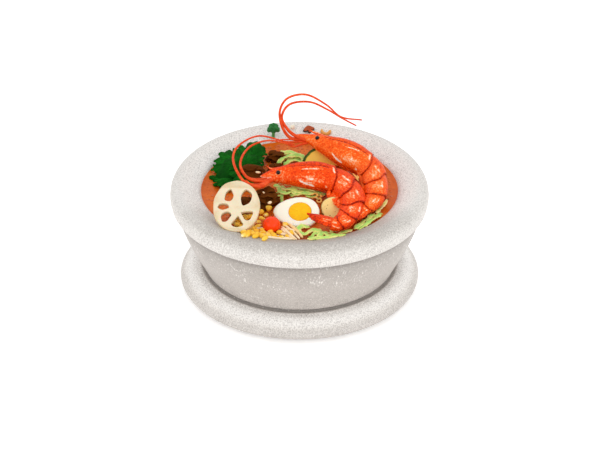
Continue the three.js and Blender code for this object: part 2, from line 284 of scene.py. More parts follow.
def smooth_line(route, count):
    """Evenly spaced points along a smooth curve through the route's places."""
    route = np.asarray(route, float)
    knots = np.vstack([2 * route[0] - route[1], route, 2 * route[-1] - route[-2]])
    steps = np.linalg.norm(np.diff(knots, axis=0), axis=1) ** 0.5
    times = np.concatenate([[0], np.cumsum(steps)])
    dense = []
    for i in range(1, len(knots) - 2):
        t0, t1, t2, t3 = times[i - 1:i + 3]
        p0, p1, p2, p3 = knots[i - 1:i + 3]
        t = np.linspace(t1, t2, 24, endpoint=False)[:, None]
        a1 = ((t1 - t) * p0 + (t - t0) * p1) / (t1 - t0)
        a2 = ((t2 - t) * p1 + (t - t1) * p2) / (t2 - t1)
        a3 = ((t3 - t) * p2 + (t - t2) * p3) / (t3 - t2)
        b1 = ((t2 - t) * a1 + (t - t0) * a2) / (t2 - t0)
        b2 = ((t3 - t) * a2 + (t - t1) * a3) / (t3 - t1)
        dense.append(((t2 - t) * b1 + (t - t1) * b2) / (t2 - t1))
    dense = np.vstack(dense + [route[-1:]])
    reach = reach_along(dense)
    even = np.linspace(0, reach[-1], count)
    return np.column_stack([np.interp(even, reach, axis) for axis in dense.T])


def wobble(points, size, seed):
    """A smooth uneven field, about -1 to 1, with swells `size` millimetres across."""
    draw = np.random.default_rng(seed)
    ways = draw.normal(size=(np.asarray(points).shape[-1], 9))
    ways *= draw.uniform(0.6, 1.5, 9) / np.linalg.norm(ways, axis=0) * math.pi / size
    return np.sin(np.asarray(points) @ ways + draw.uniform(0, 2 * math.pi, 9)).sum(-1) / 3


def ease(value, low, high):
    """0 below low, 1 above high, and a smooth step between. low may be above high."""
    share = np.clip((np.asarray(value, float) - low) / (high - low), 0, 1)
    return share * share * (3 - 2 * share)


def hump(value, middle, width):
    """A soft hump of height 1 round the middle."""
    return np.exp(-(((np.asarray(value, float) - middle) / width) ** 2))


def turned(points, at=(0, 0, 0), tilt=0, turn=0):
    """Points tilted about x, turned about z and moved, as the CAD places its toppings."""
    t, r = math.radians(tilt), math.radians(turn)
    about_x = np.array([[1, 0, 0], [0, math.cos(t), -math.sin(t)], [0, math.sin(t), math.cos(t)]])
    about_z = np.array([[math.cos(r), -math.sin(r), 0], [math.sin(r), math.cos(r), 0], [0, 0, 1]])
    return np.asarray(points, float) @ about_x.T @ about_z.T + at


def ground(*names):
    """A function that gives the height of these CAD nodes' top over a place."""
    trees = []
    for name in names:
        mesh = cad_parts[name].data
        shape = [v.co for v in mesh.vertices], [p.vertices for p in mesh.polygons]
        trees.append(BVHTree.FromPolygons(*shape))

    def height(x, y, default=-1.0):
        """The height at x, y in millimetres, or the default beside the nodes."""
        hits = [tree.ray_cast(Vector((x * MM, y * MM, 1)), Vector((0, 0, -1)))[0] for tree in trees]
        tops = [(hit.z - soup_top) / MM for hit in hits if hit]
        return max(tops, default=default)

    return height


print("helpers ready; soup at", round(ground("soup")(-88, -15), 2))

# %% [markdown]
# ## One recipe for cooked food
# Cooked food is never one flat colour. Its material adds slow mottling and a fine grain to
# the tone kept in the mesh, and a ramp of listed colours turns that sum into a colour. A
# noise of its own lifts the surface a little. Sizes are in millimetres. A grain finer than a
# millimetre would not show in the picture, so no noise is drawn finer than that.

# %% Food material
def noise(tree, where, size, detail=2):
    """A noise with swells `size` millimetres across."""
    made = add(tree, "ShaderNodeTexNoise", {"Vector": where, "Scale": 1 / (size * MM), "Detail": detail})
    return made.outputs["Fac"]


def food(name, stops, numbers, mottle=(7, 0.5), grain=(1.3, 0.4), bump=(1.3, 0.2)):
    """A material whose colour is its ramp at tone + mottling + grain.

    `mottle` and `grain` are each a size in millimetres and an amount of tone, and `bump` is
    a size and a height in millimetres.
    """
    made, tree, shader = material(name, {"Specular IOR Level": 0.2, **numbers})
    where = add(tree, "ShaderNodeTexCoord").outputs["Object"]
    tone = add(tree, "ShaderNodeAttribute", attribute_name="tone").outputs["Fac"]
    for size, amount in (mottle, grain):
        part = add(tree, "ShaderNodeMath", {0: noise(tree, where, size), 1: amount, 2: tone},
                   operation="MULTIPLY_ADD")
        tone = add(tree, "ShaderNodeMath", {0: part, 1: amount / 2}, operation="SUBTRACT")
    ramp = add(tree, "ShaderNodeValToRGB", {"Fac": tone}, stops=stops)
    tree.links.new(ramp.outputs["Color"], shader.inputs["Base Color"])
    lifted = add(tree, "ShaderNodeBump", {"Strength": 1, "Distance": bump[1] * MM,
                                          "Height": noise(tree, where, bump[0])})
    tree.links.new(lifted.outputs["Normal"], shader.inputs["Normal"])
    return made


print("food recipe ready")

# %% [markdown]
# ## Geometry Nodes trees
# Four small trees do the work that repeats. The first turns an outline round the axis, as a
# potter's wheel does. The second gives lines a body, for feelers, legs, sprouts and stalks.
# The third puts a copy of a small form on every point, for kernels and buds. The fourth
# scatters drops over a surface. Each ends in Realize Instances and Set Material, and its
# result is kept as a plain mesh.

# %% Trees: frame and baking
def geometry_tree(name, **sockets):
    """A Geometry Nodes tree with a mesh in, a mesh out and the named inputs."""
    tree = bpy.data.node_groups.new(name, "GeometryNodeTree")
    tree.interface.new_socket("Mesh", in_out="INPUT", socket_type="NodeSocketGeometry")
    tree.interface.new_socket("Result", in_out="OUTPUT", socket_type="NodeSocketGeometry")
    for label, kind in sockets.items():
        tree.interface.new_socket(label, in_out="INPUT", socket_type="NodeSocket" + kind)
    return tree, tree.nodes.new("NodeGroupInput").outputs


def close_tree(tree, result, finish):
    """Ends a tree: instances made real, faces smooth, material set."""
    real = add(tree, "GeometryNodeRealizeInstances", {"Geometry": result})
    even = add(tree, "GeometryNodeSetShadeSmooth", {"Geometry": real})
    done = add(tree, "GeometryNodeSetMaterial", {"Geometry": even, "Material": finish})
    add(tree, "NodeGroupOutput", {"Result": done})


def grow(piece, tree, **values):
    """Runs a tree on an object and keeps the result as its plain mesh."""
    modifier = piece.modifiers.new(tree.name, "NODES")
    modifier.node_group = tree
    for label, value in values.items():
        modifier[tree.interface.items_tree[label].identifier] = value
    view = bpy.context.evaluated_depsgraph_get()
    mesh = bpy.data.meshes.new_from_object(piece.evaluated_get(view))
    piece.modifiers.clear()
    piece.data = mesh
    mesh.name = piece.name
    return piece


# %% Tree: thrown ware
thrown, inputs = geometry_tree("Thrown_ware", Steps="Int", Segments="Int", Finish="Material")
outline = add(thrown, "GeometryNodeMeshToCurve", {"Mesh": inputs["Mesh"]})
around = add(thrown, "ShaderNodeMath", {0: inputs["Segments"], 1: 1}, operation="ADD")
cloth = add(thrown, "GeometryNodeMeshGrid", {"Size X": 1, "Size Y": 1,
                                             "Vertices X": inputs["Steps"], "Vertices Y": around})
spot = add(thrown, "ShaderNodeSeparateXYZ", {0: add(thrown, "GeometryNodeInputPosition")})
along = add(thrown, "ShaderNodeMath", {0: spot.outputs["X"], 1: 0.5}, operation="ADD")
angle = add(thrown, "ShaderNodeMath", {0: spot.outputs["Y"], 1: 2 * math.pi}, operation="MULTIPLY")
kept = add(thrown, "GeometryNodeStoreNamedAttribute",
           {"Geometry": cloth.outputs["Mesh"], "Name": "tone", "Value": along})
taken = add(thrown, "GeometryNodeSampleCurve", {"Curves": outline, "Factor": along}, mode="FACTOR")
profile = add(thrown, "ShaderNodeSeparateXYZ", {0: taken.outputs["Position"]})
parts = [add(thrown, "ShaderNodeMath",
             {0: profile.outputs["X"], 1: add(thrown, "ShaderNodeMath", {0: angle}, operation=way)},
             operation="MULTIPLY") for way in ("COSINE", "SINE")]
place = add(thrown, "ShaderNodeCombineXYZ", {"X": parts[0], "Y": parts[1], "Z": profile.outputs["Z"]})
wall = add(thrown, "GeometryNodeSetPosition", {"Geometry": kept, "Position": place})
closed = add(thrown, "GeometryNodeMergeByDistance", {"Geometry": wall, "Distance": 1e-5})
close_tree(thrown, closed, inputs["Finish"])
print("tree ready:", thrown.name)

# %% Tree: strands
strands, inputs = geometry_tree("Strands", Flatness="Float", Sides="Int", Finish="Material")
lines = add(strands, "GeometryNodeMeshToCurve", {"Mesh": inputs["Mesh"]})
ring = add(strands, "GeometryNodeCurvePrimitiveCircle", {"Resolution": inputs["Sides"], "Radius": 1})
oval = add(strands, "ShaderNodeCombineXYZ", {"X": 1, "Y": inputs["Flatness"], "Z": 1})
section = add(strands, "GeometryNodeTransform", {"Geometry": ring.outputs["Curve"], "Scale": oval})
girth = add(strands, "GeometryNodeInputNamedAttribute", {"Name": "girth"}, data_type="FLOAT")
body = add(strands, "GeometryNodeCurveToMesh", {"Curve": lines, "Profile Curve": section,
                                                "Scale": girth, "Fill Caps": True})
close_tree(strands, body, inputs["Finish"])
print("tree ready:", strands.name)

# %% Tree: copies of a small form
copies, inputs = geometry_tree("Copies", Form="Object", Finish="Material")
form = add(copies, "GeometryNodeObjectInfo", {"Object": inputs["Form"]})
sizes = add(copies, "GeometryNodeInputNamedAttribute", {"Name": "size"}, data_type="FLOAT_VECTOR")
turns = add(copies, "GeometryNodeInputNamedAttribute", {"Name": "turn"}, data_type="FLOAT_VECTOR")
facing = add(copies, "FunctionNodeEulerToRotation", {"Euler": turns})
set_out = add(copies, "GeometryNodeInstanceOnPoints",
              {"Points": inputs["Mesh"], "Instance": form.outputs["Geometry"], "Rotation": facing,
               "Scale": sizes})
close_tree(copies, set_out, inputs["Finish"])
print("tree ready:", copies.name)

# %% Tree: drops over a surface
drops, inputs = geometry_tree("Drops", Form="Object", Apart="Float", Density="Float", Least="Float",
                              Most="Float", Seed="Int", Finish="Material")
form = add(drops, "GeometryNodeObjectInfo", {"Object": inputs["Form"]})
spread = add(drops, "GeometryNodeDistributePointsOnFaces",
             {"Mesh": inputs["Mesh"], "Distance Min": inputs["Apart"],
              "Density Max": inputs["Density"], "Seed": inputs["Seed"]},
             distribute_method="POISSON")
sizes = add(drops, "FunctionNodeRandomValue", {2: inputs["Least"], 3: inputs["Most"],
                                               "Seed": inputs["Seed"]}, data_type="FLOAT")
set_out = add(drops, "GeometryNodeInstanceOnPoints",
              {"Points": spread.outputs["Points"], "Instance": form.outputs["Geometry"],
               "Scale": sizes.outputs[1]})
close_tree(drops, set_out, inputs["Finish"])
print("tree ready:", drops.name)


# %% [markdown]
# ## Stoneware
# The bowl and the saucer are wheel-thrown stoneware under a satin off-white glaze. The clay
# shows through it as a fine grey grain. Its real specks are a third of a millimetre, too fine
# for the picture, so the grain is drawn at 1.2 mm. The grain is drawn densest at the bowl's
# foot, under the rim's edge and under the saucer, and less on the bowl's side, on the slope
# down to the soup and on the rim's outer edge: partly grain, partly painted shade. Short pale
# strokes on the side are left by the brush that laid the glaze. The tone kept at each point
# is its share of the way along the outline, so that ramps can follow the ware's form.

# %% Stoneware material
GRAIN, CHIPS = 1.2, 1.6                 # millimetres across, drawn coarser than the real ones
BRUSH_HAIR, BRUSH_LONG = 1.4, 0.26      # a stroke's width, and its squeeze along the height
CLOUDS, PATCHES = 22, 16                # the swells in how thick the glaze lies
FRONT_SHADE_FROM, FRONT_SHADE_TO = -45, -100          # where the painted shade at the front begins and where it is full, in y


def stoneware(name, stops, specks, strokes, front_shade):
    """Grained glaze: `stops` colour the ware along its outline, and the other three ramps say how
    much grain, how many brush strokes and how much painted shade show there. The painted shade
    darkens the front of the rim's top and slope, which face away from the light."""
    made, tree, shader = material(name, {"Roughness": 0.5, "IOR": 1.45, "Coat Weight": 0.06,
                                         "Coat Roughness": 0.3})
    where = add(tree, "ShaderNodeTexCoord").outputs["Object"]
    along = add(tree, "ShaderNodeAttribute", attribute_name="tone").outputs["Fac"]
    glaze = add(tree, "ShaderNodeValToRGB", {"Fac": along}, stops=stops)
    crowd = add(tree, "ShaderNodeValToRGB", {"Fac": along}, stops=specks)
    brushed = add(tree, "ShaderNodeValToRGB", {"Fac": along}, stops=strokes)
    grain, cloud = noise(tree, where, GRAIN, 1), noise(tree, where, CLOUDS)
    # Painted shade: at the front, where the rim's top and slope face away from the light, the glaze is mixed
    # towards a darker grey and given more grain.
    thin = add(tree, "ShaderNodeValToRGB", {"Fac": along}, stops=front_shade)
    places = add(tree, "ShaderNodeSeparateXYZ", {"Vector": where})
    near = add(tree, "ShaderNodeMapRange", {"Value": places.outputs["Y"], "From Min": FRONT_SHADE_FROM * MM,
                                            "From Max": FRONT_SHADE_TO * MM})
    front_shade_mask = add(tree, "ShaderNodeMath", {0: near, 1: thin.outputs["Color"]}, operation="MULTIPLY")
    ground_tone = add(tree, "ShaderNodeMix", {0: front_shade_mask, 6: glaze, 7: colour("#B2AAA1")},
                      data_type="RGBA")
    crowded = add(tree, "ShaderNodeMath", {0: front_shade_mask, 1: crowd.outputs["Color"]}, operation="ADD")
    lots = add(tree, "ShaderNodeMath", {0: crowded, 1: cloud}, operation="MULTIPLY")
    shown = add(tree, "ShaderNodeMath", {0: lots, 1: 0.30, 2: grain}, operation="MULTIPLY_ADD")
    mask = add(tree, "ShaderNodeMapRange", {"Value": shown, "From Min": 0.42, "From Max": 1.0})
    dark = add(tree, "ShaderNodeMix", {0: mask, 6: ground_tone.outputs[2], 7: colour("#958E88")},
               data_type="RGBA")
    chips = add(tree, "ShaderNodeMapRange", {"Value": noise(tree, where, CHIPS, 1), "From Min": 0.60,
                                             "From Max": 0.78, "To Max": 0.5})
    light = add(tree, "ShaderNodeMix", {0: chips, 6: dark.outputs[2], 7: colour("#F4F0EB")},
                data_type="RGBA")
    upright = add(tree, "ShaderNodeMapping", {"Vector": where, "Scale": (1, 1, BRUSH_LONG)})
    brush, patchy = noise(tree, upright, BRUSH_HAIR, 0), noise(tree, where, PATCHES, 0)
    lines = add(tree, "ShaderNodeMapRange", {"Value": brush, "From Min": 0.63, "From Max": 0.73,
                                             "To Max": 0.7})
    areas = add(tree, "ShaderNodeMapRange", {"Value": patchy, "From Min": 0.50, "From Max": 0.62})
    both = add(tree, "ShaderNodeMath", {0: lines, 1: areas}, operation="MULTIPLY")
    stroke = add(tree, "ShaderNodeMath", {0: both, 1: brushed.outputs["Color"]}, operation="MULTIPLY")
    last = add(tree, "ShaderNodeMix", {0: stroke, 6: light.outputs[2], 7: colour("#EFEAE5")},
               data_type="RGBA")
    tree.links.new(last.outputs[2], shader.inputs["Base Color"])
    lifted = add(tree, "ShaderNodeBump", {"Strength": 0.4, "Distance": 0.25 * MM, "Height": grain})
    tree.links.new(lifted.outputs["Normal"], shader.inputs["Normal"])
    return made


def stops_on(outline, stops):
    """Ramp stops given by a radius and a height on the outline, as shares of the way along it."""
    reach = reach_along(outline)
    nearest = [np.argmin(np.linalg.norm(outline - place, axis=1)) for place, _ in stops]
    return [(reach[k] / reach[-1], code) for k, (_, code) in zip(nearest, stops)]


# %% [markdown]
# The outlines follow the CAD's, but the wheel turns them in 200 steps in place of 32, so
# that the rims look round. They run from the middle of the underside out and up over the
# rim, and back in to the middle of the top. Two fine details are added: the rim stands out
# over the side with a crisp lower edge, and a narrow moat round the saucer's seat leaves a
# dark line where the bowl meets it.
# The shade under the rim's edge and in the moat is also painted into the glaze's colours.

# %% Throw the bowl and the saucer
def arc(centre, wide, high, start, end, count):
    """Places along an oval arc, as radius and height."""
    angles = np.radians(np.linspace(start, end, count))
    return [(centre[0] + wide * math.cos(a), centre[1] + high * math.sin(a)) for a in angles]


def throw(name, outline, finish, steps, segments=200):
    """Turns an outline of radius and height round the axis."""
    outline = np.array(outline)
    points = np.column_stack([outline[:, 0], np.zeros(len(outline)), outline[:, 1]])
    edges = [(i, i + 1) for i in range(len(points) - 1)]
    piece = mesh_object(name, points, edges=edges, tone=np.zeros(len(points)))
    grow(piece, thrown, Steps=steps, Segments=segments, Finish=finish)
    corners = [list(p.vertices) for p in piece.data.polygons]
    spots = np.array([v.co for v in piece.data.vertices])
    if facing_out(spots, corners) is not corners:
        piece.data.flip_normals()
    return piece


bowl_outline = np.vstack([
    [(0, -80), (90, -80)],
    smooth_line([(90, -80), (95.6, -80), (97.0, -79.6), (97.7, -78.2), (98.8, -75.6),
                 (111.5, -50), (118.2, -33), (120.9, -24), (122.0, -18), (122.9, -14.8),
                 (125, -13.4), (126.8, -12.6), (128.1, -10.6),
                 *arc((121, -3), 8.3, 14, -22, 84, 9), (116.5, 10.3), (109, 7.6), (103.3, 5),
                 (99.8, 3), (97.6, 0), (96.3, -16)], 220),
    arc((66.3, -28), 28, 36, 0, -90, 14),
    [(0, -64)],
])
bowl_glaze = stoneware(
    "glazed_stoneware_bowl",
    # Partly painted light and shade: the rim's top, its slope down to the soup and the foot are paler, the
    # foot to lift the shade where it stands on the saucer, while the side and the rim's outer edge are darker
    # and the line under the rim's edge is a painted shadow.
    stops_on(bowl_outline, [
        ((90, -80), "#D2CAC3"), ((98.4, -76), "#DAD2CB"), ((99.6, -74), "#D2CAC3"), ((106, -61), "#C4BCB5"),
        ((111.5, -50), "#C0B8B1"), ((118.2, -33), "#B9B1AA"), ((121.4, -21), "#AFA7A0"),
        ((122.6, -16), "#857E78"), ((125, -13.4), "#8F8882"), ((127.4, -11.8), "#E4DED8"),
        ((129.2, -5), "#E6E1DB"), ((127, 6), "#D9D5CF"), ((122, 10.9), "#E8E4DF"), ((114, 9.4), "#F3EFEA"),
        ((106, 6.3), "#F8F5F1"), ((99.8, 3), "#F6F2EE"), ((97, -3), "#DCD5CF")]),
    # How much grain shows: most at the foot and under the rim's edge, partly as painted shade.
    stops_on(bowl_outline, [
        ((90, -80), "#FFFFFF"), ((111.5, -50), "#888888"), ((122, -18), "#FFFFFF"),
        ((127.4, -11.8), "#BBBBBB"), ((129.2, -5), "#BBBBBB"), ((126, 7), "#777777"),
        ((116.5, 10.3), "#444444"), ((106, 6.3), "#777777"), ((99.8, 3), "#999999")]),
    stops_on(bowl_outline, [
        ((98.4, -76), "#000000"), ((101, -71), "#FFFFFF"), ((103.5, -66), "#FFFFFF"), ((105, -63), "#000000"),
        ((110.5, -52), "#000000"), ((113, -46), "#FFFFFF"), ((119.5, -29), "#FFFFFF"),
        ((121.6, -20), "#000000")]),
    # Where the painted shade at the front lies: the rim's top and the slope down to the soup.
    stops_on(bowl_outline, [
        ((128.6, 1), "#000000"), ((127, 6), "#AAAAAA"), ((122, 10.9), "#DDDDDD"),
        ((116.5, 10.3), "#EEEEEE"), ((109, 7.6), "#FFFFFF"), ((99.8, 3), "#FFFFFF"), ((97, -3), "#000000")]))
bowl = throw("bowl", bowl_outline, bowl_glaze, 440)
settle(bowl, "stoneware", "bowl")

SAUCER_FOOT = -soup_top / MM
saucer_outline = np.vstack([
    [(0, 0), (94, 0)],
    smooth_line([(94, 0), (99, 0.2), *arc((103.5, 9), 18, 8.4, -78, 40, 9),
                 *arc((100, 11), 17, 11.2, 40, 78, 5), (101.8, 22.6), (100.4, 22.8), (99.2, 22.4),
                 (97.6, 22.0), (96.0, 22.2), (94.6, 23.2), (93.2, 23.9), (92, 24)], 150),
    [(0, 24)],
]) + (0, SAUCER_FOOT)
saucer_glaze = stoneware(
    "glazed_stoneware_saucer",
    # Partly painted light and shade: the saucer's top is paler, its edge and underside darker, and the moat
    # round the seat is dark.
    stops_on(saucer_outline - (0, SAUCER_FOOT), [
        ((94, 0), "#B9B1AB"), ((108, 0.9), "#B4ACA6"), ((118, 3.8), "#C6BFB9"), ((121.5, 9), "#D2CCC6"),
        ((118, 16), "#EAE5DF"), ((112, 19.3), "#FBF8F4"), ((105.5, 21.6), "#FAF7F3"),
        ((100.8, 22.7), "#EFEAE5"), ((99.2, 22.4), "#CFC8C2"), ((97.6, 22.0), "#A8A19B"),
        ((94, 23.5), "#A8A19B"), ((92, 24), "#B9B1AB")]),
    # How much grain shows: most on the underside and by the seat, partly as painted shade.
    stops_on(saucer_outline - (0, SAUCER_FOOT), [
        ((94, 0), "#FFFFFF"), ((120, 6), "#FFFFFF"), ((120, 13), "#AAAAAA"), ((115, 18), "#444444"),
        ((107, 21.2), "#555555"), ((103, 22), "#FFFFFF")]),
    [(0, "#000000"), (1, "#000000")], [(0, "#000000"), (1, "#000000")])
saucer = throw("saucer", saucer_outline, saucer_glaze, 300)
settle(saucer, "stoneware", "saucer")

# %% [markdown]
# ## Soup
# Soup curry is a thin, opaque orange broth with oil on top. Its surface is one smooth skin
# that reaches just into the bowl's wall, and it stands a little higher where it wets the
# wall. Round drops of red oil and bits of ground spice float on it.

# %% Soup
curry_soup = food("curry_broth", [(0.0, "#AE4606"), (0.3, "#C8580F"), (0.5, "#D96312"),
                                  (0.7, "#E3721E"), (1.0, "#EC8C3A")],
                  {"Roughness": 0.3, "IOR": 1.33, "Coat Weight": 0.04, "Coat Roughness": 0.1},
                  mottle=(16, 0.8), grain=(2.2, 0.35), bump=(9, 0.35))
soup_outline = np.vstack([
    [(0, -63.6)], arc((66.3, -28), 28.4, 35.6, -90, 0, 14), [(97.0, -16), (98.4, -1), (100.2, 1.6)],
    [(99.0, 1.75), (97.8, 1.3), (96.4, 0.6), (94.8, 0.15), (92, 0.02), (88, 0), (0, 0)],
])
soup = throw("soup", soup_outline, curry_soup, 200, 192)
tones = soup.data.attributes["tone"]
tones.data.foreach_set("value", np.full(len(soup.data.vertices), 0.5, np.float32))
settle(soup, "soup", "soup")

# %% Oil and spice on the soup
def ball(wide, deep, high, rows=6, columns=10, seed=0, rough=0.0):
    """An oval ball, with an uneven surface when `rough` is above 0."""
    polar = np.linspace(0, math.pi, rows + 2)[1:-1, None]
    angle = full_turn(columns)[None, :]
    rings = np.stack([wide * np.sin(polar) * np.cos(angle), deep * np.sin(polar) * np.sin(angle),
                      high * np.cos(polar) * np.ones_like(angle)], -1)
    return rings * (1 + rough * wobble(rings, max(wide, deep, high), seed))[..., None]


def small_form(name, rings, tone=0.5):
    """A small form at the world's middle, to be copied."""
    points, faces, tones = skin(rings, tone)
    return mesh_object(name, points - (0, 0, soup_top / MM), faces, tone=tones)


red_oil = food("chilli_oil", [(0.0, "#C24A12"), (1.0, "#E27A34")],
               {"Roughness": 0.15, "IOR": 1.47, "Coat Weight": 0.2}, mottle=(5, 0.5))
ground_spice = food("ground_spice", [(0.0, "#7E3310"), (1.0, "#B2561F")], {"Roughness": 0.6})


def float_on_soup(name, form, finish, slot, **values):
    """Scatters a form over the soup's surface, with Density as the most on a square metre."""
    angles = full_turn(64)
    edge = np.column_stack([93 * np.cos(angles), 93 * np.sin(angles), np.full(64, 0.1)])
    disc = mesh_object(name, edge, [list(range(64))])
    grow(disc, drops, Form=form, Finish=finish, **values)
    bpy.data.objects.remove(form)
    return settle(disc, slot)


float_on_soup("oil_drops", small_form("drop", ball(1, 1, 0.22, 4, 12)), red_oil, "soup",
              Apart=3.4 * MM, Density=60000.0, Least=0.5, Most=2.0, Seed=4)
float_on_soup("spice_flecks", small_form("fleck", ball(0.5, 0.8, 0.25, 4, 7)), ground_spice,
              "soup", Apart=3.2 * MM, Density=50000.0, Least=0.4, Most=0.9, Seed=9)

# %% [markdown]
# ## Prawns
# A boiled prawn wears its skeleton outside. One long shield, the carapace, covers the head
# and chest, and the tail's plates overlap like roof tiles, so that it can curl. The shell
# turns red where its colour is thick, along each plate's edge and back, and stays pale on
# the flanks. Each prawn lies on its side along a line from snout to tail. Every place on it
# is given by its share of the way along that line and by its angle round the body from the
# back, so the plates, colours, eyes and legs can all be told where they belong.

# %% The two prawns' lines
# Girths and places are in millimetres. `neck` is the share of the length that the carapace
# covers, `tilt` is how far a prawn lies on its side at each end, in degrees, and `groove` to
# `spot` place the carapace's marks, by shares of the carapace and angles from the back.
# `shine` and `spot` place painted highlights, and `streak` a pale streak that is partly painted light.
PRAWNS = {
    "front": {
        "girth": 15.6, "neck": 0.459, "tilt": (50, 76), "eye": 0.108,
        "groove": (55, 60, 58), "shine": (0.52, 80, 0.84, 75), "streak": 0.546, "patch": (0.69, 127),
        "spot": (0.95, 156), "paddles": (1.34, 1.42, 1.42, 1.32, 1.1),
        "fan_tip": [6.8, -75.4, 16.5],
        "spine": [[0.150, 6.4], [0.125, 7.2], [0.09, 6.6], [0.06, 8.2], [0.04, 11.0]],
        "route": [[-39.3, -9.8, 21], [-28.2, -9.4, 21], [-18.3, -7.1, 21], [-9.4, -6.1, 20.5],
                  [5.5, -7.3, 19.5], [18.3, -8.2, 18.5], [30.2, -10.2, 17.3], [37.9, -14.7, 16.3],
                  [43.7, -22.8, 15.4], [49.1, -33.3, 14.5], [51.2, -45.6, 13.6], [50.7, -54.6, 12.9],
                  [48.5, -63.2, 12.2], [44.5, -73.7, 11.6], [40.0, -80.7, 11.2], [34.3, -84.2, 10.9],
                  [29.0, -83.5, 10.9]]},
    "back": {
        "girth": 15.5, "neck": 0.474, "tilt": (55, 74), "eye": 0.146,
        "groove": (62, 68, 61), "shine": (0.70, 87, 0.96, 69), "streak": 0.613, "patch": (0.91, 127),
        "spot": (1.07, 160), "paddles": (0.9, 0.9, 0.9, 0.9, 0.9),
        "fan_tip": [51, -74, 9],
        "spine": [[0.165, 7.0], [0.135, 8.2], [0.11, 8.3], [0.085, 8.8], [0.063, 9.8]],
        "route": [[-3.6, 65.1, 27], [9.2, 57.7, 26], [19.8, 53.3, 25], [31.9, 45.2, 23.5],
                  [43.9, 36.6, 21.5], [55.8, 26.7, 19.5], [66.3, 15.7, 17.5], [72.1, 2.0, 15.8],
                  [74.2, -18.4, 14.2], [73.5, -33.6, 12.8], [69.2, -47.2, 11.8], [63.4, -57.0, 11],
                  [58, -63.5, 10.5]]},
}
# How far the body stands out from its line to the back and to the belly, against its girth,
# from the snout at 0 over the carapace's rear edge at 1 to the fan.
FORMS = {
    "front": [
        [0, 0.02, 0.02], [0.06, 0.2, 0.19], [0.13, 0.37, 0.34], [0.17, 0.42, 0.42], [0.22, 0.47, 0.5],
        [0.26, 0.52, 0.545], [0.31, 0.59, 0.6], [0.35, 0.66, 0.635], [0.4, 0.74, 0.66], [0.45, 0.82, 0.69],
        [0.5, 0.91, 0.715], [0.57, 0.985, 0.745], [0.65, 1.06, 0.79], [0.76, 1.09, 0.83], [0.87, 1.04, 0.82],
        [0.98, 0.96, 0.81], [1.09, 0.96, 0.88], [1.2, 0.965, 0.9], [1.31, 0.93, 0.85], [1.42, 0.91, 0.83],
        [1.53, 0.885, 0.8], [1.63, 0.825, 0.765], [1.74, 0.765, 0.69], [1.85, 0.715, 0.6], [1.96, 0.65, 0.565],
        [2.07, 0.53, 0.5], [2.18, 0.38, 0.36], [2.3, 0.2, 0.2]],
    "back": [
        [0, 0.02, 0.02], [0.06, 0.17, 0.12], [0.13, 0.295, 0.21], [0.17, 0.35, 0.26], [0.21, 0.395, 0.34],
        [0.25, 0.44, 0.44], [0.3, 0.495, 0.525], [0.34, 0.55, 0.59], [0.38, 0.605, 0.625], [0.42, 0.665, 0.66],
        [0.49, 0.77, 0.725], [0.55, 0.875, 0.785], [0.63, 0.975, 0.84], [0.74, 1.06, 0.905], [0.84, 1.08, 0.9],
        [0.95, 1.02, 0.86], [1.05, 0.96, 0.8], [1.16, 0.95, 0.78], [1.27, 0.91, 0.8], [1.37, 0.87, 0.8],
        [1.48, 0.855, 0.78], [1.58, 0.815, 0.73], [1.69, 0.745, 0.65], [1.79, 0.67, 0.55], [1.9, 0.545, 0.45],
        [2, 0.4, 0.36], [2.11, 0.27, 0.27], [2.3, 0.15, 0.15]],
}
FLATNESS = 0.75
# Where the carapace and the five plates end, by the angle round from the back.
EDGE_ANGLES = [0, 40, 65, 90, 110, 130, 150, 165, 180]
EDGES = {
    "front": [[0.438, 0.443, 0.458, 0.488, 0.516, 0.534, 0.543, 0.537, 0.510],
              [0.550, 0.571, 0.607, 0.653, 0.676, 0.681, 0.690, 0.672, 0.612],
              [0.733, 0.745, 0.764, 0.802, 0.812, 0.807, 0.790, 0.757, 0.715],
              [0.862, 0.885, 0.892, 0.886, 0.875, 0.860, 0.840, 0.820, 0.800],
              [0.945, 0.952, 0.956, 0.956, 0.949, 0.935, 0.895, 0.875, 0.860],
              [0.994, 0.986, 0.988, 0.988, 0.989, 0.990, 0.985, 0.980, 0.970]],
    "back": [[0.475, 0.495, 0.523, 0.568, 0.593, 0.608, 0.612, 0.600, 0.570],
             [0.610, 0.648, 0.702, 0.723, 0.729, 0.736, 0.725, 0.703, 0.680],
             [0.800, 0.822, 0.834, 0.842, 0.843, 0.841, 0.832, 0.815, 0.800],
             [0.935, 0.950, 0.952, 0.949, 0.942, 0.930, 0.915, 0.900, 0.880],
             [0.972, 0.980, 0.982, 0.980, 0.975, 0.965, 0.955, 0.945, 0.930],
             [1.000, 1.000, 1.000, 1.000, 1.000, 0.995, 0.990, 0.985, 0.980]],
}
# On each plate, a painted highlight's two ends and the middle of a pale patch, as shares and angles.
LIGHTS = {
    "front": [(0.515, 77, 0.583, 72, 0.575, 104), (0.659, 73, 0.719, 58, 0.712, 95),
              (0.773, 40, 0.820, 33, 0.835, 76), (0.902, 36, 0.924, 39, 0.924, 64),
              (0.955, 8, 0.978, 40, 0.970, 70)],
    "back": [(0.581, 72, 0.647, 64, 0.672, 92), (0.725, 57, 0.775, 56, 0.770, 78),
             (0.852, 47, 0.888, 45, 0.893, 66), (0.960, 50, 0.972, 50, 0.966, 70),
             (0.986, 50, 0.995, 50, 0.990, 70)],
}


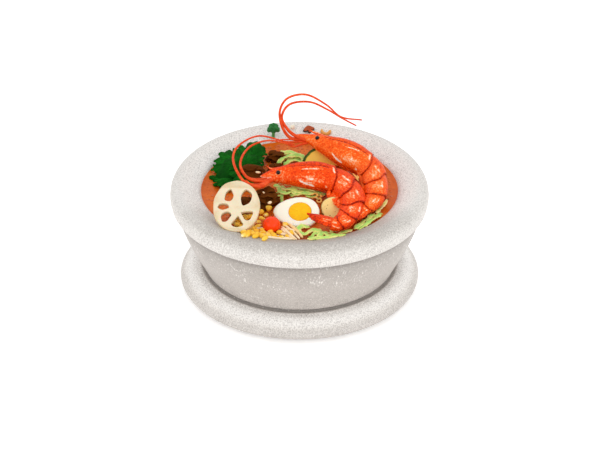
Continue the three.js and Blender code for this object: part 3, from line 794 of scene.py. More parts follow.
def frame_on(prawn, share):
    """Place, direction, back and side of a prawn at shares of its length."""
    line = prawn["line"]
    share = np.asarray(share, float)
    inside = np.clip(share, 0, 1) * (len(line) - 1)
    at = np.stack([np.interp(inside, np.arange(len(line)), axis) for axis in line.T], -1)
    slope = np.gradient(line, axis=0)
    ahead = np.stack([np.interp(inside, np.arange(len(line)), axis) for axis in slope.T], -1)
    at = at + ahead * (len(line) - 1) * (share - np.clip(share, 0, 1))[..., None]
    ahead /= np.linalg.norm(ahead, axis=-1, keepdims=True)
    tilt = np.radians(prawn["tilt"][0] + (prawn["tilt"][1] - prawn["tilt"][0]) * np.clip(share, 0, 1))
    side = np.stack([0 * tilt, -np.cos(tilt), np.sin(tilt)], -1)
    side -= ahead * (side * ahead).sum(-1, keepdims=True)
    side /= np.linalg.norm(side, axis=-1, keepdims=True)
    return at, ahead, np.cross(side, ahead), side


def on_body(prawn, share, angle, lift=1.0):
    """Points on a prawn: degrees round from the back, and how far out, 1 being its skin."""
    share, angle, lift = np.broadcast_arrays(share, np.radians(angle), lift)
    at, _, back, side = frame_on(prawn, share)
    up, out = np.cos(angle), np.sin(angle)
    along, upper, lower = prawn["form"].T
    upper, lower = (np.interp(share / prawn["neck"], along, side_of) for side_of in (upper, lower))
    girth = prawn["girth"] * lift
    deep = girth * np.where(up < 0, lower, upper) * up
    broad = girth * (upper + lower) / 2 * FLATNESS * np.sign(out) * np.abs(out) ** 0.9
    return at + back * deep[..., None] + side * broad[..., None]


for name, prawn in PRAWNS.items():
    prawn["line"] = smooth_line(prawn["route"], 240)
    prawn["form"] = smooth_line(FORMS[name], 600)
    prawn["edges"] = [smooth_line(np.column_stack([EDGE_ANGLES, edge]), 300) for edge in EDGES[name]]
    prawn["lights"] = LIGHTS[name]
    print(f"{name} prawn, {reach_along(prawn['line'])[-1]:.0f} mm along its middle")

# %% [markdown]
# The carapace has a groove along each flank, with a dark ridge over it and a thin painted
# highlight under it. Its lower flank is pale and streaked, the streak partly painted light,
# and its rear edge is thickened. A short line before that edge, a spot on the flank and a
# line under the snout are painted highlights.

# %% Carapace
ANGLES = np.linspace(0, 360, 120, endpoint=False)[None, :]
FROM_BACK = np.minimum(ANGLES, 360 - ANGLES)


def edge_of(prawn, number):
    """Where a plate ends, at every angle round the body."""
    return np.interp(FROM_BACK, *prawn["edges"][number].T)


def carapace(prawn):
    """The head and chest shield."""
    u = np.linspace(0.004, 1.0, 96)[:, None]
    rear = edge_of(prawn, 0) / prawn["neck"]
    v = u * (1 + (rear - 1) * ease(u, 0.45, 1.0))
    line = np.interp(v, [0.36, 0.5, 0.92], prawn["groove"])
    groove = hump(FROM_BACK, line, 3.0) * ease(v, 0.33, 0.42) * ease(u, 0.98, 0.90)
    lift = 1 - 0.04 * groove + 0.02 * hump(u, 0.982, 0.016)
    rings = on_body(prawn, v * prawn["neck"], ANGLES, lift)
    field = np.stack(np.broadcast_arrays(v * 62, FROM_BACK / 3.2), -1)
    tone = 0.41 - 0.12 * ease(FROM_BACK, line + 2, line - 16) - 0.36 * groove
    # A painted highlight over the groove, a pale flank, a streak along it, partly painted light, and a small
    # painted highlight spot.
    begin, first, end, last = prawn["shine"]
    shine = hump(FROM_BACK, first + (last - first) * (v - begin) / (end - begin), 2.4)
    tone = tone + 0.62 * shine * ease(v, begin, begin + 0.08) * ease(v, end, end - 0.06)
    share, angle = prawn["patch"]
    flank = np.exp(-((v - share) / 0.16) ** 2 - ((FROM_BACK - angle) / 21) ** 2)
    tone = tone + flank * (0.34 + 0.16 * wobble(field, 3.0, 5))
    begin = prawn["streak"]
    streak = hump(FROM_BACK, np.interp(v, [begin, begin + 0.083, begin + 0.19], [140, 153, 161]), 5.2)
    streak = streak * ease(v, begin - 0.03, begin + 0.03) * ease(v, begin + 0.22, begin + 0.15)
    tone = tone + streak * (0.80 + 0.16 * wobble(field, 4.0, 6))
    share, angle = prawn["spot"]
    tone = tone + 0.62 * np.exp(-((v - share) / 0.035) ** 2 - ((FROM_BACK - angle) / 6) ** 2)
    # A dark belly line and rear edge, a short painted highlight before the edge, and a paler snout with a
    # painted highlight along its lower side.
    tone = tone - 0.22 * ease(FROM_BACK, 164, 174) * ease(v, 0.42, 0.55) - 0.34 * hump(u, 1.0, 0.012)
    tone = tone + 0.60 * hump(u, 0.966, 0.013) * ease(FROM_BACK, 46, 54) * ease(FROM_BACK, 82, 74)
    tone = tone + 0.12 * ease(v, 0.46, 0.24) * hump(FROM_BACK, 105, 50)
    tone = tone + 0.50 * hump(FROM_BACK, 128, 8) * ease(u, 0.19, 0.14)
    folded = [on_body(prawn, share * rear * prawn["neck"], ANGLES, lift)[0]
              for share, lift in ((0.997, 0.95), (0.97, 0.88))]
    rings = np.concatenate([rings, folded])
    return skin(rings, np.vstack([tone, np.full((2, ANGLES.size), 0.05)]))


print("carapace:", len(carapace(PRAWNS["front"])[0]), "points")

# %% [markdown]
# Each tail plate starts under the one before it and ends in a rounded, slightly flared edge.
# Its lower corner is rounded off, and the belly between the two flanks is drawn in.

# %% Tail plates
def tail_plate(prawn, number):
    """One of the overlapping plates."""
    start, end = edge_of(prawn, number), edge_of(prawn, number + 1)
    s = np.concatenate([np.linspace(-0.3, 0.98, 32), [1.0, 0.985, 0.9]])[:, None]
    share = start + (end - start) * s
    flare = np.interp(s, [-0.3, 0, 0.2, 0.55, 0.85, 0.97], [0.86, 0.93, 0.985, 1.01, 1.02, 1.02])
    flare[-3:] = [[1.0], [0.94], [0.86]]
    rings = on_body(prawn, share, ANGLES, flare * (1 - 0.10 * ease(FROM_BACK, 168, 178)))
    lit = np.clip(s, 0, 1)
    # Darker where the plate starts under the one before, as painted shade, and darker along its rear edge.
    tone = 0.38 - 0.22 * ease(lit, 0.12, 0.0) - 0.34 * ease(lit, 0.90, 0.975)
    tone = tone - 0.10 * ease(FROM_BACK, 30, 10) - 0.05 * ease(FROM_BACK, 120, 150)
    # A pale patch, and a painted highlight along each plate.
    first, begin, last, finish, middle, turn = prawn["lights"][number]
    field = np.stack(np.broadcast_arrays(share * 90, FROM_BACK / 3.6), -1)
    patch = np.exp(-((share - middle) / (0.32 * (end - start))) ** 2 - ((FROM_BACK - turn) / 26) ** 2)
    tone = tone + (0.31 + 0.14 * wobble(field, 2.6, 9)) * patch
    glint = hump(FROM_BACK, begin + (finish - begin) * (share - first) / (last - first), 6.0)
    soft = 0.25 * (last - first)
    glint = glint * ease(share, first - soft, first + soft) * ease(share, last + soft, last - soft)
    tone = tone + 0.45 * glint + 0.18 * glint * wobble(field, 2.0, 11)
    tone = np.where(s > 0.983, 0.06, tone)
    return skin(rings, tone)


print("tail plate:", len(tail_plate(PRAWNS["front"], 0)[0]), "points")

# %% [markdown]
# The fan at the end is shut, as it is on a boiled prawn: four blades and the middle spike
# lie over each other and come together at the tip. The spine over the eyes has small teeth.

# %% Tail fan and spine
# Each blade's place across the fan at its root and at its tip, its length as a share of the
# fan's, half its width, and its height over the fan's middle.
BLADES = [(-3.6, -0.9, 1.0, 3.1, 0.2), (-1.8, 0.2, 0.95, 3.2, 1.1), (0, 1.2, 0.82, 2.6, 2.4),
          (2.0, 2.7, 0.88, 3.2, 1.5), (3.8, 3.9, 0.80, 2.9, 0.6)]
SPINE_TEETH, SPINE_GIRTH = 6, 1.75


def tail_fan(prawn):
    """Four flat blades and a middle spike, each ribbed along its middle."""
    at, _, _, side = frame_on(prawn, 0.965)
    reach = np.array(prawn["fan_tip"]) - at
    long = np.linalg.norm(reach)
    reach /= long
    across = np.cross(side, reach)
    lifted = np.cross(reach, across)
    parts = []
    along, over = np.linspace(0, 1, 26)[:, None], np.linspace(-1, 1, 15)[None, :]
    for i, (root, tip, reaches, wide, height) in enumerate(BLADES):
        middle = root + (tip - root) * along ** 1.2
        half = wide * np.sin(math.pi * (0.12 + 0.86 * along) ** 0.8) ** 0.7 + 0.1
        lift = height * (1 - 0.5 * along) + 1.0 * (1 - over ** 2)
        grid = at + reach * (long * reaches * along)[..., None]
        grid = grid + across * (middle + half * over)[..., None] + lifted * lift[..., None]
        tone = 0.32 - 0.10 * ease(along, 0.45, 0.85) + 0.20 * hump(over, 0.1, 0.4) * ease(along, 0.7, 0.4)
        # A painted highlight on the middle spike and the blade beside it.
        tone = tone + 0.34 * hump(over, 0.2, 0.16) * hump(along, 0.36, 0.12) * (i in (2, 3))
        tone = tone - 0.16 * ease(abs(over), 0.7, 0.95) + 0 * along
        parts.append(sheet(grid, 1.5 - 0.8 * along - 0.3 * over ** 2, tone))
    return parts


def rostrum(prawn):
    """The toothed spine over the eyes."""
    spine = smooth_line(prawn["spine"], 44)
    at, _, back, side = frame_on(prawn, spine[:, 0])
    centre = (at + back * spine[:, 1:] / 0.95)[:, None, :]
    along = np.linspace(0, 1, 44)[:, None]
    angle = full_turn(14)[None, :]
    toothed = ease(along, 0.15, 0.25) * ease(along, 0.9, 0.8) * (np.cos(angle) > 0.3)
    teeth = 1 + 0.5 * ((along * SPINE_TEETH) % 1) * toothed
    size = SPINE_GIRTH * (1 - 0.72 * along) * teeth
    rings = centre + back[:, None] * (size * np.cos(angle))[..., None]
    rings = rings + side[:, None] * (0.62 * size * np.sin(angle))[..., None]
    # A painted highlight runs along the spine, between its back and its side.
    tone = 0.24 + 0.62 * hump(np.degrees(angle), 62, 24) * ease(along, 0.08, 0.3) * ease(along, 0.85, 0.6)
    return skin(rings, tone)


print("tail fan:", len(tail_fan(PRAWNS["front"])), "blades")

# %% [markdown]
# Eyes stand on short stalks just behind the snout. The walking legs are folded flat against
# the chest, and the paddles under the tail against the belly. Legs, paddles and the small
# feelers at the mouth are lines with a girth at each point, and the Strands tree gives them
# their bodies.

# %% Eyes, legs and paddles
EYE, STALK = 2.2, (2.0, 1.5)            # girths in millimetres
PAIRS = 5                               # of walking legs, and of paddles


def eyes(prawn):
    """Two black eyes on their stalks: the places and the finished skins."""
    stalks, balls = [], []
    for around in (86, -80):
        seat = on_body(prawn, prawn["eye"] + 0.012, around, 0.6)
        eye = on_body(prawn, prawn["eye"], around, 1.0)
        stalks.append((np.array([seat, eye]), STALK))
        balls.append(skin(ball(EYE, EYE, EYE, 8, 14) + eye, 0.2))
    return stalks, balls


def limbs(prawn):
    """Walking legs and paddles, as lines with girths."""
    made = []
    for sign in (1, -1):
        for k in range(PAIRS):
            share = prawn["neck"] * (0.46 + 0.09 * k)
            spots = [on_body(prawn, share + step, 180 - sign * around, lift) for step, around, lift in (
                (0, 14, 0.85), (0.02, 8, 0.93), (0.06, -4, 0.96), (0.10, -8, 0.92))]
            girth = np.interp(np.linspace(0, 1, 14), [0, 0.3, 0.6, 1], [1.1, 0.9, 0.65, 0.35])
            made.append((smooth_line(spots, 14), girth))
        for k, reach in enumerate(prawn["paddles"]):
            share = prawn["neck"] + 0.045 + 0.045 * k
            spots = [on_body(prawn, share + step, 181 + sign * around, lift) for step, around, lift in (
                (0, 8, 0.8), (0.025, 5, 0.95 * reach ** 0.5), (0.06, 3, 0.97 * reach),
                (0.10, 2, 0.96 * reach))]
            girth = np.interp(np.linspace(0, 1, 14), [0, 0.35, 0.75, 1], [1.5, 2.6, 2.4, 0.7])
            made.append((smooth_line(spots, 14), girth))
    return made


def strand_piece(name, strands_of, finish, slot, *nodes, sides=8, flatness=1.0, tones=None):
    """Lines with girths, in millimetres, given their bodies by the Strands tree."""
    points = np.vstack([line for line, _ in strands_of])
    girths = np.concatenate([np.broadcast_to(g, len(line)) for line, g in strands_of])
    tone = np.full(len(points), 0.5) if tones is None else np.concatenate(tones)
    edges, first = [], 0
    for line, _ in strands_of:
        edges += [(first + i, first + i + 1) for i in range(len(line) - 1)]
        first += len(line)
    piece = mesh_object(name, points, edges=edges, girth=girths * MM, tone=tone)
    grow(piece, strands, Flatness=flatness, Sides=sides, Finish=finish)
    return settle(piece, slot, *nodes)


SHELL = {"Roughness": 0.38, "Specular IOR Level": 0.1, "Coat Weight": 0.04, "Coat Roughness": 0.15}
# The palest stops of each ramp colour the painted highlights.
shell_finish = {
    "front": food("boiled_shell_red", [
        (0.0, "#8F1A02"), (0.14, "#C22C03"), (0.28, "#E83C03"), (0.42, "#FB4804"), (0.56, "#FF6418"),
        (0.70, "#FF9460"), (0.86, "#FFCBAC"), (1.0, "#FFF2E6")], SHELL,
        mottle=(5, 0.4), grain=(1.6, 1.0), bump=(1.2, 0.15)),
    "back": food("boiled_shell_orange", [
        (0.0, "#A02A03"), (0.14, "#CE3C05"), (0.28, "#F04C06"), (0.42, "#FF5C0C"), (0.56, "#FF7828"),
        (0.70, "#FF9C60"), (0.86, "#FFCEA8"), (1.0, "#FFF2E6")], SHELL,
        mottle=(5, 0.4), grain=(1.6, 1.0), bump=(1.2, 0.15)),
}
eye_finish = food("prawn_eye", [(0.0, "#060504"), (1.0, "#1B1512")],
                  {"Roughness": 0.2, "Coat Weight": 0.3})

# %% Build both prawns
for name, prawn in PRAWNS.items():
    shell = [carapace(prawn), rostrum(prawn), *tail_fan(prawn)]
    shell += [tail_plate(prawn, number) for number in range(5)]
    made_of(f"prawn_{name}", shell, shell_finish[name], f"prawn_{name}", f"prawn_{name}")
    stalks, balls = eyes(prawn)
    made_of(f"eyes_{name}", balls, eye_finish, f"prawn_{name}")
    strand_piece(f"limbs_{name}", stalks + limbs(prawn), shell_finish[name], f"prawn_{name}")

# %% [markdown]
# ## Feelers
# Each prawn has two long feelers that loop up over the bowl and back, thick at the root and
# tapering to a hair. Beside their roots it has a pair of short ones and one thick scale.

# %% Feelers
FEELERS = {
    "antenna_back_outer": [
        [-9, 60, 26], [-17, 61, 37], [-20, 69, 52], [-13, 75, 63], [6, 73, 69], [27, 72, 58],
        [42, 76, 42], [64, 91, 30]],
    "antenna_back_inner": [
        [0, 58, 27], [-11, 61, 34], [-18, 67, 46], [-11, 74, 56.5], [10, 74, 60], [29, 70, 53],
        [43, 73, 42], [58, 79, 30]],
    "antenna_front_outer": [
        [-40, -27, 21], [-53, -27, 24], [-62, -14, 30], [-66, 7, 34], [-61, 25, 36.5],
        [-41, 46, 36], [-18, 45, 31], [-5, 42, 28]],
    "antenna_front_inner": [
        [-37, -21, 22], [-50, -21, 25], [-58, -9, 30.5], [-57, 8, 33.5], [-47, 30, 34.5],
        [-30, 42, 33], [-18, 41.5, 31], [-7, 39, 29]],
}
feeler_skin = food("boiled_feeler", [(0.0, "#C23408"), (0.3, "#DE420E"), (0.55, "#F05018"),
                                     (0.8, "#F8743A"), (1.0, "#FCB48E")],
                   {"Roughness": 0.5}, mottle=(7, 0.9), grain=(2, 0.7))
for name, route in FEELERS.items():
    root = on_body(PRAWNS["back" if "back" in name else "front"], 0.075, 150, 0.72)
    line = smooth_line([root, *route], 90)
    girth = np.interp(np.linspace(0, 1, 90), [0, 0.12, 0.3, 1], [2.1, 1.75, 1.3, 0.75])
    strand_piece(name, [(line, girth)], feeler_skin, "antenna", name)

MOUTH_PARTS = {
    "front": [([[-26, -13, 20], [-30, -19, 20.5], [-38, -29, 20.5], [-46, -30, 22], [-53, -23, 24.5]], 2.1),
              ([[-30, -12, 20], [-37, -15.3, 21.5], [-47.5, -16.9, 23], [-57, -10.7, 25.5]], 0.9),
              ([[-28, -13, 20], [-36, -20, 20.5], [-46, -22.5, 22.5], [-55, -15, 25]], 0.8)],
    "back": [([[10, 55, 23], [4, 54, 22.5], [-5.6, 48.8, 22], [-11.5, 50.5, 22.5]], 1.3),
             ([[9, 56, 24], [2, 56, 24], [-6, 54.7, 24], [-19, 55.2, 25.5], [-29, 59, 27]], 0.9),
             ([[8, 56, 25], [0, 57.5, 26], [-7, 56.5, 26], [-21, 56, 26], [-30, 52, 25]], 0.8)],
}
taper = np.interp(np.linspace(0, 1, 26), [0, 0.3, 0.8, 1], [1, 1, 0.7, 0.25])
for name, parts in MOUTH_PARTS.items():
    lines = [(smooth_line(route, len(taper)), girth * taper) for route, girth in parts]
    strand_piece(f"mouth_parts_{name}", lines, feeler_skin, "antenna")

# %% [markdown]
# ## Egg
# The egg was boiled and cut along its length. Its white is firm, smooth and slightly
# translucent, with a crisp edge, and it has a pit in which the crumbly yolk sits. The pit is
# modelled, so the two meet as they do in a real egg.

# %% Egg
EGG = {"at": (-3, -57, 8.5), "tilt": 22, "turn": -5}
EGG_LONG, EGG_WIDE, EGG_DEEP = 45, 36, 15.5
YOLK_AT, YOLK, PIT_DEEP = (3.5, 0.5), 11.4, 8.5
EGG_STEPS = 72
angle = full_turn(EGG_STEPS)


def egg_edge(share):
    """The egg's outline, scaled, with its pointed end to the left."""
    x = EGG_LONG / 2 * share * np.cos(angle)
    return x, EGG_WIDE / 2 * share * np.sin(angle) * (1 + 0.4 * x / EGG_LONG)


def egg_ring(x, y, z):
    """Points at one height over the cut, in the egg's place."""
    return turned(np.stack([x, y, np.full_like(x, z)], -1), **EGG)


def yolk_ring(share, z):
    """A ring at a share of the yolk's radius."""
    reach = YOLK * share
    return egg_ring(YOLK_AT[0] + reach * np.cos(angle), YOLK_AT[1] + reach * np.sin(angle), z)


pit = [(np.sin(p), -np.cos(p)) for p in np.radians([12, 28, 46, 64, 80, 90])]
rings = [yolk_ring(r, PIT_DEEP * h) for r, h in pit]
rim_x, rim_y = egg_edge(0.985)
for share in (0.04, 0.25, 0.5, 0.75, 1.0):
    x = (YOLK_AT[0] + YOLK * np.cos(angle)) * (1 - share) + rim_x * share
    y = (YOLK_AT[1] + YOLK * np.sin(angle)) * (1 - share) + rim_y * share
    rings.append(egg_ring(x, y, 0.25 * math.sin(math.pi * share)))
for polar in np.radians([94, 100, 110, 122, 135, 148, 160, 172]):
    rings.append(egg_ring(*egg_edge(math.sin(polar)), EGG_DEEP * math.cos(polar)))
tone = np.array([[0.55]] * 6 + [[0.7]] * 4 + [[0.55]] + [[0.4], [0.25]] + [[0.2]] * 6)
boiled_white = food("boiled_egg_white", [(0.0, "#DDA266"), (0.25, "#F2D9B0"), (0.5, "#FFF6E0"),
                                         (1.0, "#FFFBEC")],
                    {"Roughness": 0.3, "Subsurface Weight": 0.25, "Subsurface Scale": 0.004},
                    mottle=(9, 0.25), grain=(2, 0.12), bump=(3, 0.12))
made_of("egg_white", [skin(rings, np.broadcast_to(tone, (len(rings), EGG_STEPS)))], boiled_white,
        "egg_white", "egg_white")

dome = []
for r, h in [(0.03, 0.62), (0.3, 0.6), (0.6, 0.5), (0.82, 0.36), (0.94, 0.2), (0.99, 0.02), (0.97, -1.4)]:
    x, y = YOLK * r * np.cos(angle), YOLK * r * np.sin(angle)
    crumb = 0.22 * wobble(np.stack([x, y], -1), 1.8, 3) * (h > 0.1)
    dome.append(turned(np.stack([YOLK_AT[0] + x, YOLK_AT[1] + y, h + crumb], -1), **EGG))
dome += [yolk_ring(r, (PIT_DEEP - 0.1) * h) for r, h in [(0.8, -0.6), (0.4, -0.91), (0.1, -0.99)]]
tone = np.array([0.6, 0.6, 0.58, 0.54, 0.42, 0.25, 0.2, 0.2, 0.2, 0.2])[:, None]
crumbly_yolk = food("boiled_egg_yolk", [(0.0, "#E69400"), (0.4, "#FCB400"), (0.6, "#FFC300"),
                                        (1.0, "#FFD010")],
                    {"Roughness": 0.55, "Subsurface Weight": 0.1, "Subsurface Scale": 0.002},
                    mottle=(5, 0.35), grain=(1.2, 0.3), bump=(1.1, 0.25))
made_of("egg_yolk", [skin(dome, np.broadcast_to(tone, (len(dome), EGG_STEPS)))], crumbly_yolk,
        "egg_yolk", "egg_yolk")

# %% [markdown]
# ## Lotus root
# A slice across a lotus root shows its air channels, each widest towards the skin. A flat 2D
# curve with holes in it, given a thickness and a bevel, is the quickest honest way to a
# plate with soft-edged holes. It is made a mesh before it is tilted into place.

# %% Lotus slice
LOTUS = {"at": (-60.6, -72.3, 24.3), "tilt": 28.6}
LOTUS_WIDE, LOTUS_HIGH, LOTUS_THICK, LOTUS_EDGE = 45, 57.3, 5.2, 0.6
# Each channel's middle, its length and width, the bearing of its length and its taper.
CHANNELS = [(9.1, 9.5, 18, 10.5, 80, 0.1), (-7.3, 12.0, 14, 8.2, 80, -0.1),
            (-12.9, -0.3, 11, 7.4, 2, 0.1), (-10.3, -11.7, 12.5, 8.7, 62, 0.15),
            (1.1, -17.3, 12.5, 9.5, 264, 0.6), (9.7, -9.7, 11.5, 10, 335, 0.5)]


def closed_line(curve, x, y):
    """Adds a closed outline to a flat curve, in metres."""
    line = curve.splines.new("POLY")
    line.points.add(len(x) - 1)
    flat = np.column_stack([x, y, 0 * x, 0 * x + 1]) * (MM, MM, MM, 1)
    line.points.foreach_set("co", flat.ravel())
    line.use_cyclic_u = True


plate = bpy.data.curves.new("lotus_outline", "CURVE")
plate.dimensions, plate.fill_mode = "2D", "BOTH"
plate.extrude = (LOTUS_THICK / 2 - LOTUS_EDGE) * MM
plate.bevel_depth, plate.bevel_resolution = LOTUS_EDGE * MM, 2
angle = full_turn(96)
uneven = 1 - LOTUS_EDGE / 24 + 0.008 * np.sin(9 * angle + 1) + 0.006 * np.sin(4 * angle)
closed_line(plate, LOTUS_WIDE / 2 * uneven * np.cos(angle), LOTUS_HIGH / 2 * uneven * np.sin(angle))
angle = full_turn(30)
for number, (x, y, long, wide, bearing, wedge) in enumerate(CHANNELS):
    rough = 1 + 0.05 * np.sin(3 * angle + number) + 0.03 * np.sin(5 * angle + 2 * number)
    out = (long / 2 + LOTUS_EDGE) * np.cos(angle) * rough
    over = (wide / 2 + LOTUS_EDGE) * np.sin(angle) * (1 + wedge * np.cos(angle)) * rough
    b = math.radians(bearing)
    closed_line(plate, x + out * math.cos(b) - over * math.sin(b),
                y + out * math.sin(b) + over * math.cos(b))
flat = bpy.data.objects.new("flat", plate)
bpy.context.collection.objects.link(flat)
solid = bpy.data.meshes.new_from_object(flat.evaluated_get(bpy.context.evaluated_depsgraph_get()))
bpy.data.objects.remove(flat)
points = np.array([v.co for v in solid.vertices]) / MM - (0, 0, LOTUS_THICK / 2)
radius = np.hypot(points[:, 0] / LOTUS_WIDE, points[:, 1] / LOTUS_HIGH) * 2
# Paler inside and darker at the skin; the lower part of each channel's wall and the underside are painted
# darker, as painted shade.
tone = 0.62 - 0.3 * ease(radius, 0.955, 0.99) - 0.6 * ease(points[:, 2], -0.8, -2.5) * (radius < 0.95)
faces = [list(p.vertices) for p in solid.polygons]
cooked_lotus = food("cooked_lotus_root", [(0.0, "#B07238"), (0.3, "#DCC49A"), (0.55, "#EADABA"),
                                          (1.0, "#F4E9D2")],
                    {"Roughness": 0.38, "Subsurface Weight": 0.2, "Subsurface Scale": 0.004},
                    mottle=(8, 0.35), grain=(1.5, 0.2), bump=(1.6, 0.12))
lotus = mesh_object("lotus_slice", turned(points, **LOTUS), faces, finish=cooked_lotus, tone=tone)

shape = bmesh.new()
shape.from_mesh(lotus.data)
bmesh.ops.remove_doubles(shape, verts=shape.verts, dist=1e-6)
bmesh.ops.recalc_face_normals(shape, faces=shape.faces)
shape.to_mesh(lotus.data)
shape.free()
settle(lotus, "lotus_root", "lotus_slice")

# %% [markdown]
# ## Single toppings
# The tomato is a glossy ball with a small scar where its stalk was. The potato and the
# mushroom are slices, built as slabs whose rings grow from the middle of one face, round the
# edge, to the middle of the other, so the skin can be darker than the cut. The pumpkin is a
# wedge whose rings follow its curve, with the green rind as the outermost few points.

# %% Slabs
def slab(outline, thick, round_edge, bulge, face_tone, edge_tone):
    """A slice with an outline in its plane, rounded edges and a darker skin."""
    outline = np.asarray(outline, float)
    reach = np.linalg.norm(outline, axis=1).mean()
    rings = [(share, bulge * (1 - share ** 2)) for share in (0.04, 0.3, 0.55, 0.75, 0.88, 0.95)]
    on_face = len(rings) + 1
    for turn in np.radians([0, 30, 60, 90]):
        inset = round_edge * (1 - math.sin(turn)) / reach
        rings.append((1 - inset, -round_edge * (1 - math.cos(turn))))
    rings += [(1, -thick + round_edge), (1 - 0.3 * round_edge / reach, -thick + 0.3 * round_edge),
              (1 - round_edge / reach, -thick), (0.5, -thick), (0.05, -thick)]
    stacked = np.stack([np.column_stack([outline * share, np.full(len(outline), height)])
                        for share, height in rings])
    tones = [[face_tone if i < on_face else edge_tone] for i in range(len(rings))]
    return stacked, np.broadcast_to(np.array(tones), stacked.shape[:2])


def lay_slab(name, outline, thick, round_edge, bulge, tones, place, finish, slot, *nodes, more=()):
    """A slab, turned into its place, as a piece."""
    rings, tone = slab(outline, thick, round_edge, bulge, *tones)
    return made_of(name, [skin(turned(rings, **place), tone), *more], finish, slot, *nodes)


def round_outline(wide, high, uneven, seed):
    """An uneven oval outline."""
    angle = full_turn(72)
    places = np.column_stack([wide * np.cos(angle), high * np.sin(angle)])
    return places * (1 + uneven * wobble(places, max(wide, high), seed))[:, None]


POTATO = {"at": (31.8, -49.6, 8.5), "tilt": 48}
specks = [skin(turned(ball(0.75, 0.5, 0.25, 4, 8) + (x, y, 0.05), **POTATO), 0.02)
          for x, y in ((-4.2, 2.6), (-5.4, -0.6), (2.9, -3.6), (-2.0, -7.5))]
cooked_potato = food("cooked_potato", [(0.0, "#7A5A2C"), (0.2, "#C0A24E"), (0.35, "#EAC878"),
                                       (0.55, "#FFDF92"), (1.0, "#FFECB4")],
                     {"Roughness": 0.5, "Subsurface Weight": 0.1, "Subsurface Scale": 0.003},
                     mottle=(6, 0.35), grain=(1.3, 0.25), bump=(1.6, 0.3))
lay_slab("potato_slice", round_outline(11.2, 11.6, 0.03, 8), 8, 1.5, 0.3, (0.55, 0.12), POTATO,
         cooked_potato, "potato", "potato_slice", more=specks)

MUSHROOM = {"at": (9.8, 107.2, 10.6), "tilt": 30, "turn": 22}
half_cap = [(1.6, -4.6), (1.5, -2.4), (2.0, -1.6), (4.6, -2.0), (7.2, -1.6), (7.9, -0.2), (6.6, 1.8),
            (4.6, 3.4), (2.8, 4.9), (1.0, 5.6)]
cap = smooth_line([(0, -4.9), *half_cap, (-0.6, 5.6), *[(-x, y * 0.92) for x, y in half_cap[::-1]],
                   (0, -4.9)], 97)[:-1] * 0.82
sliced_mushroom = food("fried_mushroom", [(0.0, "#4A2210"), (0.3, "#6E3218"), (0.5, "#A54A26"),
                                          (0.7, "#B9592F"), (1.0, "#D98A5A")], {"Roughness": 0.45},
                       mottle=(4, 0.5), grain=(1.2, 0.3), bump=(1.2, 0.3))
lay_slab("mushroom_slice", cap, 3.2, 1.4, 0.2, (0.58, 0.02), MUSHROOM, sliced_mushroom,
         "mushroom", "mushroom_slice")

# %% Tomato, pumpkin and the nuts on the rim
tomato = ball(8.7, 8.7, 8.3, 24, 40)
scar = hump(np.linalg.norm(tomato - (-3.4, -3.8, 6.2), axis=-1), 0, 1.5)
tomato = tomato * (1 - 0.05 * scar)[..., None] + (-27, -79, 6.9)
tomato_skin = food("cherry_tomato_skin", [(0.0, "#A5601C"), (0.3, "#EC3A03"), (0.5, "#FF4204"),
                                          (1.0, "#FF5C18")],
                   {"Roughness": 0.25, "Coat Weight": 0.08}, mottle=(9, 0.3), grain=(1.2, 0.1),
                   bump=(6, 0.1))
made_of("cherry_tomato", [skin(tomato, 0.52 - 0.4 * scar)], tomato_skin, "tomato", "cherry_tomato")

OUTER, RIND = 24, 2.8
bearings = np.radians(np.linspace(161, 19, 56))[:, None]
round_rad = [OUTER, OUTER, OUTER - 0.5, OUTER - RIND, OUTER - RIND - 0.5, 17, 11, 6, 4.2, 3.6,
             3.6, 4.2, 8, 15, OUTER - RIND - 0.5, OUTER - RIND, OUTER - 0.5, OUTER]
depths = [-6, -1.2, -0.2, 0, 0, 0.3, 0.3, 0.1, -0.8, -3,
          -9, -11.2, -12, -12, -12, -12, -11.8, -10.8]
tones = [0.08, 0.1, 0.1, 0.16, 0.5, 0.6, 0.6, 0.5, 0.45, 0.4,
         0.4, 0.4, 0.5, 0.5, 0.5, 0.16, 0.1, 0.08]
spots = np.stack(np.broadcast_arrays(bearings * OUTER, depths), -1)
radius = np.array(round_rad)[None, :] + 0.25 * wobble(spots, 4, 6)
rings = np.stack([radius * np.cos(bearings), radius * np.sin(bearings),
                  np.broadcast_to(depths, radius.shape)], -1)
wedge = turned(rings, at=(25.4, 40, 1.2), tilt=52, turn=-4)
cooked_pumpkin = food("cooked_pumpkin", [(0.0, "#17330A"), (0.1, "#2A4A0E"), (0.2, "#5F7A1E"),
                                         (0.34, "#FFCA42"), (0.6, "#FFDA60"), (1.0, "#FFE690")],
                      {"Roughness": 0.42, "Subsurface Weight": 0.1, "Subsurface Scale": 0.003},
                      mottle=(6, 0.2), grain=(1.4, 0.12), bump=(1.5, 0.3))
made_of("pumpkin_wedge", [skin(wedge, np.broadcast_to(tones, radius.shape))], cooked_pumpkin,
        "pumpkin", "pumpkin_wedge")

share = np.linspace(0.02, 0.98, 34)[:, None]
bearing = np.radians(150 + 225 * share)
around = full_turn(20)[None, :]
size = 2.2 * np.sin(math.pi * share) ** 0.45 * (1 + 0.18 * np.cos(2 * math.pi * share))
size = size * (1 - 0.10 * hump(np.cos(around), 1, 0.3))
reach = 4.3 + size * np.cos(around)
nut = np.stack([reach * np.cos(bearing), reach * np.sin(bearing), size * np.sin(around)], -1)
nut = turned(nut, at=(27.5, 104.8, 9.8), tilt=25)
roast_cashew = food("roast_cashew", [(0.0, "#C27A2E"), (0.5, "#E9A655"), (1.0, "#F7C987")],
                    {"Roughness": 0.4}, mottle=(4, 0.6), grain=(1.2, 0.25))
made_of("cashew", [skin(nut, 0.5 - 0.25 * hump(np.cos(around), 1, 0.3) + 0 * share)], roast_cashew,
        "cashew", "cashew")

